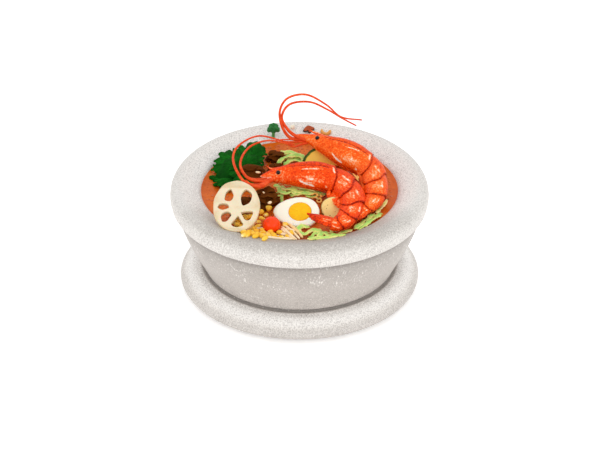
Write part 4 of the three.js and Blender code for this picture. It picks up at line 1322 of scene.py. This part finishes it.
share = np.linspace(0.02, 0.98, 26)[:, None]
size = 3 * np.sin(math.pi * share) ** 0.8 * (1.15 - 0.5 * share) * (1 + 0.06 * np.cos(3 * around))
clove = np.stack([9 * (share - 0.5) + 0 * around, size * np.cos(around), 0.8 * size * np.sin(around)], -1)
clove = turned(clove, at=(-7, 110, 11.8), turn=70)
garlic_skin = food("peeled_garlic", [(0.0, "#CDB892"), (0.5, "#F1E8D2"), (1.0, "#FBF6EA")],
                   {"Roughness": 0.4, "Subsurface Weight": 0.15, "Subsurface Scale": 0.003},
                   mottle=(4, 0.4), grain=(1.5, 0.15))
made_of("garlic_clove", [skin(clove, 0.55 - 0.35 * ease(share, 0.15, 0.0) + 0 * around)], garlic_skin,
        "garlic", "garlic_clove")

# %% [markdown]
# ## Broccoli
# A floret is a stalk that branches into lobes, and each lobe is a crowd of flower buds about
# half a millimetre wide. The buds are drawn at 1.3 mm so that they show, and one small form
# is copied onto every place by the Copies tree.

# %% Copies of a small form
def copied(name, form, places, sizes, turns, finish, slot, *nodes):
    """Puts a small form on each place, with its own size and turn."""
    sizes, turns = np.broadcast_to(sizes, (len(places), 3)), np.broadcast_to(turns, (len(places), 3))
    piece = mesh_object(name, places, size=sizes, turn=turns)
    grow(piece, copies, Form=form, Finish=finish)
    bpy.data.objects.remove(form)
    return settle(piece, slot, *nodes)


def on_ball(count, seed):
    """Even directions over a ball, as on a sunflower head."""
    i = np.arange(count) + 0.5
    polar, turn = np.arccos(1 - 2 * i / count), math.pi * (1 + 5 ** 0.5) * i + seed
    return np.column_stack([np.sin(polar) * np.cos(turn), np.sin(polar) * np.sin(turn), np.cos(polar)])


draw = np.random.default_rng(11)
FLORET = np.array((-27, 99, 5.5))
lobes = [((0, 0, 10.4), 3.2), ((-3.7, -0.4, 9.6), 2.3), ((3.7, -0.6, 9.8), 2.3), ((0.3, -2.4, 9.4), 2.3),
         ((-2.3, 1.2, 12.4), 2.2), ((2.4, 1.0, 12.5), 2.2), ((-1.9, -1.9, 11.6), 2.0), ((0, 1.0, 13.4), 2.1),
         ((2.0, -2.0, 11.5), 2.0), ((-4.6, 0.3, 7.9), 1.7), ((4.5, 0.2, 8.1), 1.7), ((0.2, 2.6, 10.3), 2.4)]
floret = food("cooked_broccoli", [(0.0, "#1A4E22"), (0.4, "#2A7236"), (0.6, "#388744"), (1.0, "#6CB468")],
              {"Roughness": 0.5}, mottle=(3, 0.5), grain=(1.1, 0.5))
stem = [(-0.4, 0, -0.6), (-0.2, 0, 2.5), (0, 0, 5.5), (0.1, 0, 8.5)]
stalks = [(smooth_line([FLORET + p for p in stem], 12), np.linspace(1.7, 1.5, 12))]
for centre, reach in lobes[1:]:
    branch = [(0, 0, 4.5), np.multiply(centre, (0.5, 0.5, 0.8)), centre]
    stalks.append((smooth_line([FLORET + p for p in branch], 8), np.linspace(1.0, 0.7, 8)))
strand_piece("broccoli_stalk", stalks, floret, "broccoli", tones=[np.full(len(l), 0.85) for l, _ in stalks])
made_of("broccoli_lobes", [skin(ball(r, r, r, 6, 10) + FLORET + c, 0.2) for c, r in lobes], floret,
        "broccoli", "broccoli_floret")
places = np.vstack([FLORET + c + on_ball(60, 3 * k) * r for k, (c, r) in enumerate(lobes)])
copied("broccoli_buds", small_form("bud", ball(1, 1, 1, 3, 6), 0.55), places,
       draw.uniform(0.5, 0.8, (len(places), 1)), draw.uniform(0, 6, (len(places), 3)), floret,
       "broccoli")

# %% [markdown]
# ## Heaps
# Leaves, mushrooms, shreds and kernels lie in heaps. In each heap a low dark core fills the
# middle, where the eye can't tell one piece from another, and real leaves, fans, shreds and
# kernels lie over it, out to the outline that the CAD gives. How high each one lies is found
# by dropping a line onto the CAD's own surface.

# %% Heap cores
def heap_core(node, share, finish, slot):
    """A lumpy core inside a CAD heap, smaller than it by `share`."""
    low, high = (np.array(c) / MM - (0, 0, soup_top / MM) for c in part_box(node))
    middle = (low + high) / 2
    height = ground(node)
    angle = full_turn(40)
    rings, edge = [], []
    for turn in angle:
        out = np.array([math.cos(turn), math.sin(turn)])
        far = [r for r in np.arange(1, 60, 1.0) if height(*(middle[:2] + out * r)) > -0.9]
        edge.append((max(far) if far else 2) * share)
    edge = np.array(edge)
    for level in (0.06, 0.3, 0.55, 0.78, 0.93, 1.0):
        x = middle[0] + level * edge * np.cos(angle)
        y = middle[1] + level * edge * np.sin(angle)
        top = np.array([height(middle[0] + (a - middle[0]) / share, middle[1] + (b - middle[1]) / share, 0.5)
                        for a, b in zip(x, y)])
        z = np.maximum(top, 0.5) * share * (1 if level < 1 else 0.1)
        z = z + 0.5 * wobble(np.column_stack([x, y]), 3.5, int(100 * level)) * (level < 1)
        rings.append(np.column_stack([x, y, z]))
    rings.append(rings[-1] * (1, 1, 0) + (0, 0, -2.5))
    rings.append(np.column_stack([middle[0] + 0.3 * (x - middle[0]), middle[1] + 0.3 * (y - middle[1]),
                                  np.full(len(x), -2.5)]))
    return made_of(f"{node}_core", [skin(rings, 0.3)], finish, slot)


# %% [markdown]
# ### Kale
# The leaf is torn into broad flat lobes. Each is a fan-shaped sheet that opens from its
# root, with an edge cut into scallops a few millimetres wide. It lies almost flat, because
# it is cooked, and only its margin is ruffled. Pale veins spread from the root.

# %% Kale
def leaf_lobe(root, tip, spread, seed):
    """One scalloped lobe of a leaf, opening by `spread` degrees from its root to its tip."""
    draw = np.random.default_rng(seed)
    phase = draw.uniform(0, 6.28, 6)
    root, tip = np.array(root, float), np.array(tip, float)
    long = np.linalg.norm(tip - root)
    ahead = (tip - root) / long
    across = np.cross((0, 0, 1), ahead)
    across /= np.linalg.norm(across)
    up = np.cross(ahead, across)
    t, s = np.linspace(0.04, 1, 24)[:, None], np.linspace(-1, 1, 57)[None, :]
    angle = np.radians(spread) / 2 * s
    width = long * math.radians(spread)
    big, small = math.pi * width / 11, math.pi * width / 4.2
    edge = 1 - 0.26 * s ** 2 - 0.13 * abs(np.sin(big / 2 * s + phase[0])) ** 3 - 0.055 * abs(
        np.sin(small / 2 * s + phase[1])) ** 2
    reach = long * t * (1 + (edge - 1) * t)
    margin = t ** 5
    ruffle = margin * (0.9 * np.sin(big * s + phase[2]) + 0.7 * np.sin(small * s + phase[3]))
    rise = 0.10 * long * np.sin(math.pi * t) - 0.16 * long * s ** 2 * t + ruffle
    grid = (root + ahead * (reach * np.cos(angle))[..., None] + across * (reach * np.sin(angle))[..., None]
            + up * rise[..., None])
    veins = hump(abs((s * 3.5 + phase[4]) % 1 - 0.5), 0.5, 0.07) * ease(t, 0.95, 0.7)
    # The ruffles' crests are painted paler and their hollows darker: painted light and shade.
    tone = 0.42 + 0.10 * ruffle + 0.16 * veins + 0.10 * np.sin(5 * s + phase[5]) * t
    return sheet(grid, 0.8 + 0.3 * veins, tone)


kale_leaf_green = food("curly_kale", [(0.0, "#06330A"), (0.25, "#0A460C"), (0.45, "#0E560F"),
                                      (0.62, "#176A18"), (0.8, "#2F8426"), (1.0, "#6FAE52")],
                       {"Roughness": 0.8, "Specular IOR Level": 0.05}, mottle=(8, 0.6),
                       grain=(1.6, 0.35), bump=(1.6, 0.2))
KALE_LOBES = [
    ((-64, 36, 8), (-78, 59, 12), 80), ((-58, 40, 9), (-66, 59, 14), 80), ((-52, 42, 9), (-57, 68, 14), 75),
    ((-46, 46, 9), (-46, 77, 14), 62), ((-44, 44, 8), (-39, 67, 12), 60), ((-48, 38, 8), (-37, 51, 10), 70),
    ((-50, 30, 7), (-35, 34, 9), 80), ((-68, 30, 7), (-90, 37, 5), 80), ((-66, 34, 8), (-86, 47, 9), 80),
    ((-62, 20, 7), (-79, 20, 4), 75), ((-66, 12, 5), (-86, 5, 4), 60), ((-64, 10, 5), (-78, -5, 3.5), 80),
    ((-60, 10, 6), (-66, -6, 4), 85), ((-54, 14, 6), (-52, -2, 4), 80), ((-60, 20, 10), (-74, 34, 13), 90),
    ((-58, 24, 11), (-62, 46, 16), 85), ((-54, 26, 11), (-48, 48, 15), 85), ((-60, 18, 10), (-72, 14, 9), 90),
    ((-58, 14, 9), (-62, 0, 7), 90), ((-54, 22, 9), (-42, 40, 11), 80),
]
leaves = [leaf_lobe(*lobe, seed=40 + i) for i, lobe in enumerate(KALE_LOBES)]
leaves += [leaf_lobe((-80, 19, 1.5), (-91, 24, 1.8), 46, 70), leaf_lobe((-77, 14, 2), (-88, 19, 1.5), 40, 72),
           leaf_lobe((-78, 8, 2), (-88, 8, 1.5), 50, 71)]
made_of("kale_leaf", leaves, kale_leaf_green, "kale", "kale_leaf")
heap_core("kale_leaf", 0.74, kale_leaf_green, "kale")

# %% [markdown]
# ### Maitake
# Maitake grows as a rosette of overlapping fans on one stem. Cooked in soup it turns a deep
# even brown, a little paler along the soft wavy edges.

# %% Maitake
def mushroom_fan(root, heading, rise, long, wide, seed):
    """One softly wavy fan of a maitake rosette."""
    draw = np.random.default_rng(seed)
    phase = draw.uniform(0, 6.28, 4)
    t, s = np.linspace(0, 1, 18)[:, None], np.linspace(-1, 1, 27)[None, :]
    spread = (0.20 + 0.80 * t ** 0.8) * wide / 2
    reach = long * t * (1 - 0.42 * s ** 2 * t) * (1 + 0.05 * t * np.sin(5.5 * s + phase[0]))
    z = (0.34 * long * t - 0.50 * long * t ** 2.4 - 0.10 * wide * s ** 2 * t
         + 0.045 * long * t ** 1.6 * np.sin(6 * s + phase[1]))
    grid = turned(np.stack([spread * s, reach, z], -1), at=root, tilt=rise, turn=heading - 90)
    tone = 0.46 + 0.06 * np.sin(9 * t + phase[3]) + 0.22 * ease(t, 0.88, 1.0) + 0 * s
    return sheet(grid, 2.4 - 1.3 * t, tone)


maitake_brown = food("cooked_maitake", [(0.0, "#3E1C05"), (0.35, "#582A06"), (0.55, "#643408"),
                                        (0.75, "#704014"), (1.0, "#94642E")],
                     {"Roughness": 0.8, "Specular IOR Level": 0.05},
                     mottle=(6, 0.5), grain=(1.5, 0.35), bump=(1.3, 0.2))
MAITAKE = {"maitake_left": ((-48, 21), (12, 13), 15, 9), "maitake_back": ((-24, 61), (9, 13), 10, 8),
           "maitake_middle": ((-24, 37), (10, 9), 8, 7), "maitake_front": ((-33, -28), (15, 13), 18, 11)}
CAPS = {"maitake_left": [((-49, 14, 13.5), 96, 4, 15, 25), ((-46, 18, 13), 40, -4, 12, 18),
                         ((-52, 18, 12), 160, -8, 11, 17), ((-48, 20, 12), 260, -10, 12, 20)]}
GOLDEN = 137.5
for order, (node, (at, size, top, count)) in enumerate(MAITAKE.items()):
    fans = [mushroom_fan(*cap, 400 + k) for k, cap in enumerate(CAPS.get(node, []))]
    for k in range(count):
        level = (k + 0.5) / count
        heading = GOLDEN * k + 40 * order
        h = math.radians(heading)
        away = 0.30 * (1 - level)
        root = (at[0] + size[0] * away * math.cos(h), at[1] + size[1] * away * math.sin(h),
                top * (0.12 + 0.62 * level))
        long = (0.84 - 0.24 * level) * (size[0] + size[1]) / 2
        fans.append(mushroom_fan(root, heading, -8 + 34 * level, long, long * 1.6, 200 + 30 * order + k))
    made_of(node, fans, maitake_brown, "maitake", node)
    heap_core(node, 0.70, maitake_brown, "maitake")

# Two bits lie behind the lotus slice: a low one, which shows dark through one of its holes,
# and a taller one, on which the slice leans.
scrap = [mushroom_fan((-54, -31, 3), heading, 24, 8.5, 12, 460 + k)
         for k, heading in enumerate((60, 120, 190))]
scrap += [mushroom_fan((-58, -54, 2 + 1.7 * k), GOLDEN * k, 6 + 3 * k, 11 - 0.5 * k, 14, 470 + k)
          for k in range(9)]
made_of("maitake_scrap", scrap, maitake_brown, "maitake")

# %% [markdown]
# ### Shredded cabbage and bean sprouts
# Cabbage is cut into curling ribbons four or five millimetres wide, green along their
# middle and yellow at their cut edges. The ribbons that show were drawn from above as
# routes, and shorter ones are scattered under them. Bean sprouts are round, juicy threads,
# to which the Strands tree gives their bodies.

# %% Ribbons
def over_ground(line, height, above):
    """Lifts a line's points to at least `above` over the ground, and keeps them in the bowl."""
    low = np.array([height(x, y, 0.0) for x, y, _ in line]) + above
    return np.column_stack([line[:, 0], line[:, 1], np.maximum(line[:, 2], low)])


def ribbon(line, wide, seed, shade=0.0):
    """A crinkled strip of leaf along a line."""
    draw = np.random.default_rng(seed)
    phase = draw.uniform(0, 6.28, 5)
    count = len(line)
    steps = np.arange(count)[:, None]
    ahead = np.gradient(line, axis=0)
    ahead /= np.linalg.norm(ahead, axis=1, keepdims=True) + 1e-9
    flat = np.cross((0, 0, 1), ahead)
    flat /= np.linalg.norm(flat, axis=1, keepdims=True) + 1e-9
    up = np.cross(ahead, flat)
    twist = 0.32 * np.sin(steps * 0.25 + phase[0])
    across = flat * np.cos(twist) + up * np.sin(twist)
    s = np.linspace(-1, 1, 9)[None, :]
    ends = 0.35 + 0.65 * ease(np.minimum(steps, count - 1 - steps), -0.5, 3)
    half = wide / 2 * ends * (1 + 0.12 * np.sin(steps * 0.9 + phase[1]) + 0.08 * np.sign(s) * np.sin(
        steps * 1.7 + phase[2]))
    crinkle = 0.30 * abs(s) ** 2 * np.sin(steps * 1.1 + phase[3] + np.sign(s)) - 0.5 * s ** 2
    grid = line[:, None] + across[:, None] * (half * s)[..., None] + up[:, None] * crinkle[..., None]
    tone = shade + 0.30 + 0.42 * ease(abs(s), 0.45, 0.85) + 0.12 * np.sin(steps * 0.4 + phase[4])
    return sheet(grid, 1.1, tone)


def wandering(start, heading, long, swing, wave, height, above, seed, bend=0.0):
    """A line that winds over a surface: its points, a millimetre apart."""
    draw = np.random.default_rng(seed)
    steps = np.arange(0, long, 1.0)
    h = math.radians(heading) + np.radians(bend) * (steps / long - 0.5)
    x = start[0] + np.cumsum(np.cos(h)) - np.cumsum(np.cos(h)).mean()
    y = start[1] + np.cumsum(np.sin(h)) - np.cumsum(np.sin(h)).mean()
    off = swing * np.sin(2 * math.pi * steps / wave + draw.uniform(0, 6.28))
    x, y = x - off * np.sin(h), y + off * np.cos(h)
    z = np.array([height(a, b, 0.0) for a, b in zip(x, y)])
    soft = np.convolve(np.pad(z, 2, mode="edge"), np.ones(5) / 5, mode="valid")
    inside = np.hypot(x, y) < 101
    return np.column_stack([x, y, soft + above])[inside]


def oval_places(at, size, turn, count, seed):
    """Places spread evenly but unevenly over a turned oval."""
    draw = np.random.default_rng(seed)
    k = np.arange(count) + 0.5
    reach, angle = np.sqrt(k / count), k * math.pi * (3 - 5 ** 0.5) + draw.uniform(0, 6)
    x = size[0] * reach * np.cos(angle) + draw.normal(0, 0.8, count)
    y = size[1] * reach * np.sin(angle) + draw.normal(0, 0.8, count)
    r = math.radians(turn)
    return np.column_stack([at[0] + x * math.cos(r) - y * math.sin(r),
                            at[1] + x * math.sin(r) + y * math.cos(r)])


# %% Cabbage
shredded_cabbage = food("shredded_cabbage", [(0.0, "#90C84E"), (0.25, "#AEE474"), (0.45, "#C4E876"),
                                             (0.62, "#E0EC7C"), (0.80, "#F6EE8C"), (1.0, "#FFF2A8")],
                        {"Roughness": 0.4}, mottle=(4, 0.6), grain=(1.4, 0.4), bump=(1.2, 0.2))
soup_stained = food("soup_stained_shreds", [(0.0, "#C85414"), (1.0, "#EC8A3C")], {"Roughness": 0.4})
# For each heap: the middle, half sizes, turn and number of the ribbons underneath, and the
# routes of those that show, each with a width and a shade.
CABBAGE = {
    "cabbage_back": ((-8, 58), (10, 8), 25, 4, [
        ([(-22, 47, 3), (-19, 50, 6), (-14, 53, 8), (-8, 54, 9), (-2, 55, 9), (4, 52, 7), (5, 46, 4)],
         5.5, 0),
        ([(-18, 64, 5), (-12, 65, 7), (-5, 61, 8), (2, 56, 8), (4, 49, 6)], 5.0, 0.1),
        ([(-16, 45, 3), (-12, 46, 6), (-6, 47, 7.5), (0, 46, 7), (5, 45, 3)], 4.5, 0.05),
        ([(-19, 75, 2.5), (-15, 70, 4), (-12, 62, 6)], 4.5, 0.25)]),
    "cabbage_middle": ((0, -14), (26, 10), -4, 7, [
        ([(-25, 3, 4), (-21, -4, 6), (-19, -14, 7), (-13, -20, 8), (-8, -17, 8), (-3, -20, 7)], 5, 0),
        ([(-18, -5, 7), (-14, -12, 8), (-8, -13, 9), (-3, -17, 8.5), (3, -17, 8), (9, -14, 7)], 5, 0.12),
        ([(-9, -20, 5), (-2, -21, 7), (3, -19, 8), (10, -20, 8), (16, -17, 7), (23, -15, 5)], 5, 0),
        ([(-16, 5, 6), (-9, -3, 8), (-2, -9, 9), (4, -11, 9), (11, -13, 8), (19, -12, 6)], 4.5, 0.1),
        ([(-22, 9, 3), (-17, 8, 5), (-13, 2, 7), (-14, -4, 8)], 4, 0.25),
        ([(13, -21, 4), (19, -19, 5), (26, -15, 4)], 4.5, 0)]),
    "cabbage_front": ((19, -87), (16, 5), 12, 2, [
        ([(10, -79, 4), (3, -76, 4), (-1, -81, 4), (0, -88, 4), (5, -91, 4), (9, -88, 5), (13, -85, 5),
          (18, -86, 5), (21, -91, 5), (18, -98, 5), (12, -99, 5), (10, -105, 6), (15, -108, 6)], 5, 0.08),
        ([(17, -92, 5), (24, -90, 5), (28, -95, 5), (33, -94, 5), (38, -98, 5), (44, -99, 5.5)], 4.8, 0),
        ([(14, -107, 6), (19, -103, 6), (25, -102, 6), (30, -103, 6), (37, -101, 6)], 4.2, 0.15)]),
    "cabbage_right": ((70, -58), (18, 4), 55, 2, [
        ([(53, -80, 3), (56, -76, 4), (60, -72, 4), (62, -66, 4), (67, -63, 4), (69, -57, 4),
          (73, -52, 3)], 4.5, 0.1),
        ([(57, -81, 3), (60, -76, 3), (64, -73, 4), (68, -67, 4), (73, -61, 4), (76, -54, 3)], 4.2, 0),
        ([(75, -50, 3), (79, -42, 3), (83, -34, 3), (86, -24, 2.5)], 3.4, 0.42),
        ([(38, -86, 2), (45, -83, 2.2), (51, -80, 2)], 3.4, 0.2)]),
}
for order, (node, (at, size, turn, count, routes)) in enumerate(CABBAGE.items()):
    height, floor_height = ground(node, "soup", "bowl"), ground("soup", "bowl")
    strips = []
    for k, (route, wide, shade) in enumerate(routes):
        line = smooth_line(route, int(1.25 * reach_along(route)[-1]))
        line = over_ground(line, floor_height, 0.9)
        strips.append(ribbon(line, wide, 700 + 20 * order + k, shade))
    draw = np.random.default_rng(300 + order)
    for k, place in enumerate(oval_places(at, size, turn, count, 310 + order)):
        line = wandering(place, turn + draw.normal(0, 30), draw.uniform(14, 20), 1.4, 9, height,
                         draw.uniform(-2.6, -1.2), 330 + 40 * order + k, bend=draw.normal(0, 60))
        if len(line) > 6:
            strips.append(ribbon(line, draw.uniform(3, 4), 500 + 40 * order + k, draw.uniform(-0.1, 0.2)))
    made_of(node, strips, shredded_cabbage, "cabbage", node)
    heap_core(node, 0.60, soup_stained, "cabbage")

# %% Sprouts
height, floor_height = ground("sprouts", "corn", "soup", "bowl"), ground("soup", "bowl")
SPROUTS = [
    [(-14, -75, 4), (-9, -84, 5), (-4, -93, 5), (0, -103, 6)],
    [(-11, -72, 4), (-6, -81, 5), (-1, -90, 5), (3, -99, 5)],
    [(-17, -78, 4), (-12, -88, 5), (-7, -97, 5), (-3, -106, 6)],
    [(-18, -91, 4), (-13, -93, 4), (-8, -100, 5), (-5, -107, 6)],
    [(-38, -99, 4), (-31, -97, 4), (-23, -95, 4), (-16, -97, 4), (-9, -102, 5)],
    [(-36, -106, 5), (-27, -105, 5), (-20, -105, 5), (-12, -106, 6), (-5, -105, 6)],
    [(-46, -86, 4), (-40, -89, 4), (-34, -88, 4), (-28, -92, 4)],
    [(-45, -77, 4), (-39, -81, 4), (-33, -79, 4)],
    [(-9, -74, 4), (-4, -81, 4), (0, -90, 4)], [(-42, -100, 5), (-35, -95, 5), (-27, -91, 4)],
    [(-49, -80, 4), (-46, -87, 4), (-41, -95, 4)], [(-20, -84, 4), (-16, -90, 4), (-10, -95, 4)],
]
lines, tones = [], []
draw = np.random.default_rng(71)
for route in SPROUTS:
    line = smooth_line(route, int(reach_along(route)[-1]))
    lines.append((over_ground(line, floor_height, 1.0), draw.uniform(1.15, 1.45)))
for place in oval_places((-11, -85), (12, 6), -6, 7, 70):
    line = wandering(place, draw.normal(-40, 40), draw.uniform(14, 22), 0.6, 19, height, -1.5, 600,
                     draw.normal(0, 30))
    lines.append((line, 1.1))
for k, (line, girth) in enumerate(lines):
    steps = np.arange(len(line))
    lines[k] = (line, girth * (0.5 + 0.5 * ease(np.minimum(steps, len(line) - 1 - steps), -0.5, 3)))
    tones.append(np.full(len(line), draw.uniform(0.35, 0.75)))
bean_sprouts = food("bean_sprouts", [(0.0, "#F0B060"), (0.35, "#FCD28C"), (0.6, "#FFE6BC"),
                                     (1.0, "#FFF6E0")],
                    {"Roughness": 0.35}, mottle=(5, 0.6), grain=(1.5, 0.2))
strand_piece("sprouts", lines, bean_sprouts, "sprouts", "sprouts", sides=10, tones=tones)
heap_core("sprouts", 0.6, soup_stained, "sprouts")

# %% [markdown]
# ### Corn
# A kernel is a rounded wedge, pale at the root where it sat on the cob. One kernel of about
# a hundred faces is copied onto every place by the Copies tree, each turned and sized a little
# differently. Some lie up on the bowl's slope and some show through the lotus root.

# %% Corn
share = np.linspace(0, 1, 8)[:, None]
around = full_turn(12)[None, :]
girth = np.interp(share, [0, 0.14, 0.4, 0.75, 0.93, 1], [0.30, 0.5, 0.85, 1.0, 0.72, 0.25])
wedge = np.stack([3.6 * girth * np.sign(np.cos(around)) * abs(np.cos(around)) ** 0.75,
                  2.6 * girth * np.sign(np.sin(around)) * abs(np.sin(around)) ** 0.8,
                  7.4 * share - 3.9 - 0.5 * (share == 1) + 0 * around], -1)
kernel = small_form("kernel", wedge, np.broadcast_to(0.85 - 0.35 * ease(share, 0, 0.35), (8, 12)))
sweetcorn = food("sweetcorn", [(0.0, "#E89C18"), (0.3, "#FAB828"), (0.5, "#FFC83A"),
                               (0.75, "#FFDA6A"), (1.0, "#FFECB4")],
                 {"Roughness": 0.3, "Coat Weight": 0.1}, mottle=(8, 0.8), grain=(1.5, 0.15))
floor_height = ground("soup", "bowl")
draw = np.random.default_rng(90)
KERNELS = [
    (-38, -51, 5), (-30, -46, 6), (-37, -64, 5), (-43, -79, 4), (-49, -90, 5), (-53, -98, 6), (-53, -107, 7),
    (-47, -95, 5), (-41, -101, 6), (-33, -112, 8), (-42, -107, 7), (-38, -93, 4), (-19, -88, 4),
    (-25, -93, 4),
    (-14, -74, 4), (-8, -91, 5), (-60, -77, 5), (-51, -64, 6), (-40, -71, 5), (-46, -70, 4), (-36, -84, 4),
    (-50, -105, 7), (-30, -100, 4), (-57, -80, 4), (-48, -60, 5), (-33, -56, 4), (-11, -97, 4), (-62, -70, 4),
    (-55, -70, 3), (-45, -52, 3), (-52, -84, 3), (-58, -88, 4), (-30, -66, 2), (-43, -62, 4),
    (-60, -75, 9), (-56, -73, 9), (-64, -72, 9),
    (-53, -67, 8), (-60, -81, 9), (-55, -85, 8), (-42, -88, 5), (-35, -91, 5), (-46, -84, 5), (-40, -78, 5),
    (-28, -88, 4), (-36, -104, 6), (-24, -101, 5), (-17, -103, 6), (-45, -101, 6), (-49, -99, 6),
]
places = [(x, y, max(z, floor_height(x, y, 0.0) + 1.8)) for x, y, z in KERNELS]
turns = np.column_stack([draw.uniform(0.9, 2.2, len(places)), draw.uniform(-0.6, 0.6, len(places)),
                         draw.uniform(0, 6.28, len(places))])
copied("corn", kernel, places, draw.uniform(0.8, 1.0, (len(places), 3)), turns, sweetcorn, "corn", "corn")
heap_core("corn", 0.72, soup_stained, "corn")

# %% [markdown]
# ### Small bits
# A few pale grains lie on the mushrooms, curls of yellow pepper lie by the egg and between
# the prawns, and chopped herb floats here and there.

# %% Grains, curls and herb
grain_form = small_form("grain", ball(2.6, 1.5, 1.2, 6, 12, 2, 0.06), 0.6)
places = [(-41, -1, 20.5), (-35, -38, 19), (-29, -47, 13)]
copied("pale_grains", grain_form, places, [(1.2, 1, 1), (0.8, 0.6, 0.7), (1.1, 1.1, 1)],
       [(0.2, 0.4, 0.5), (0.5, 0.7, 1.0), (0.3, 0.1, 0.9)], bean_sprouts, "sprouts")
yellow_pepper = food("yellow_pepper", [(0.0, "#E08A2E"), (0.5, "#F6B85C"), (1.0, "#FBD98E")],
                     {"Roughness": 0.4}, mottle=(3, 0.6))
CURLS = [
    [(12, -23, 7), (15, -21, 8), (18, -24, 8), (15, -27, 7), (12, -28, 6.5)],
    [(18, -28, 7), (21, -30, 7), (21, -34, 6), (18, -34, 6), (17, -31, 6.5)],
    [(20, -22, 7), (22, -25, 7), (20, -27, 7)], [(53, -7, 22.5), (56, -13, 22), (58, -19, 21.5)],
    [(57, -10, 22), (58, -14, 22), (55, -17, 21.5)],
]
curls = [(smooth_line(route, 20), 0.95 * (0.5 + 0.5 * np.sin(math.pi * np.linspace(0.06, 0.94, 20))))
         for route in CURLS]
strand_piece("pepper_curls", curls, yellow_pepper, "corn", sides=8, flatness=0.7)
chopped_herb = food("chopped_herb", [(0.0, "#123F12"), (1.0, "#2F7A28")], {"Roughness": 0.5})
float_on_soup("herb_bits", small_form("bit", ball(0.9, 0.5, 0.2, 4, 7)), chopped_herb, "kale",
              Apart=9 * MM, Density=6000.0, Least=0.6, Most=1.5, Seed=3)
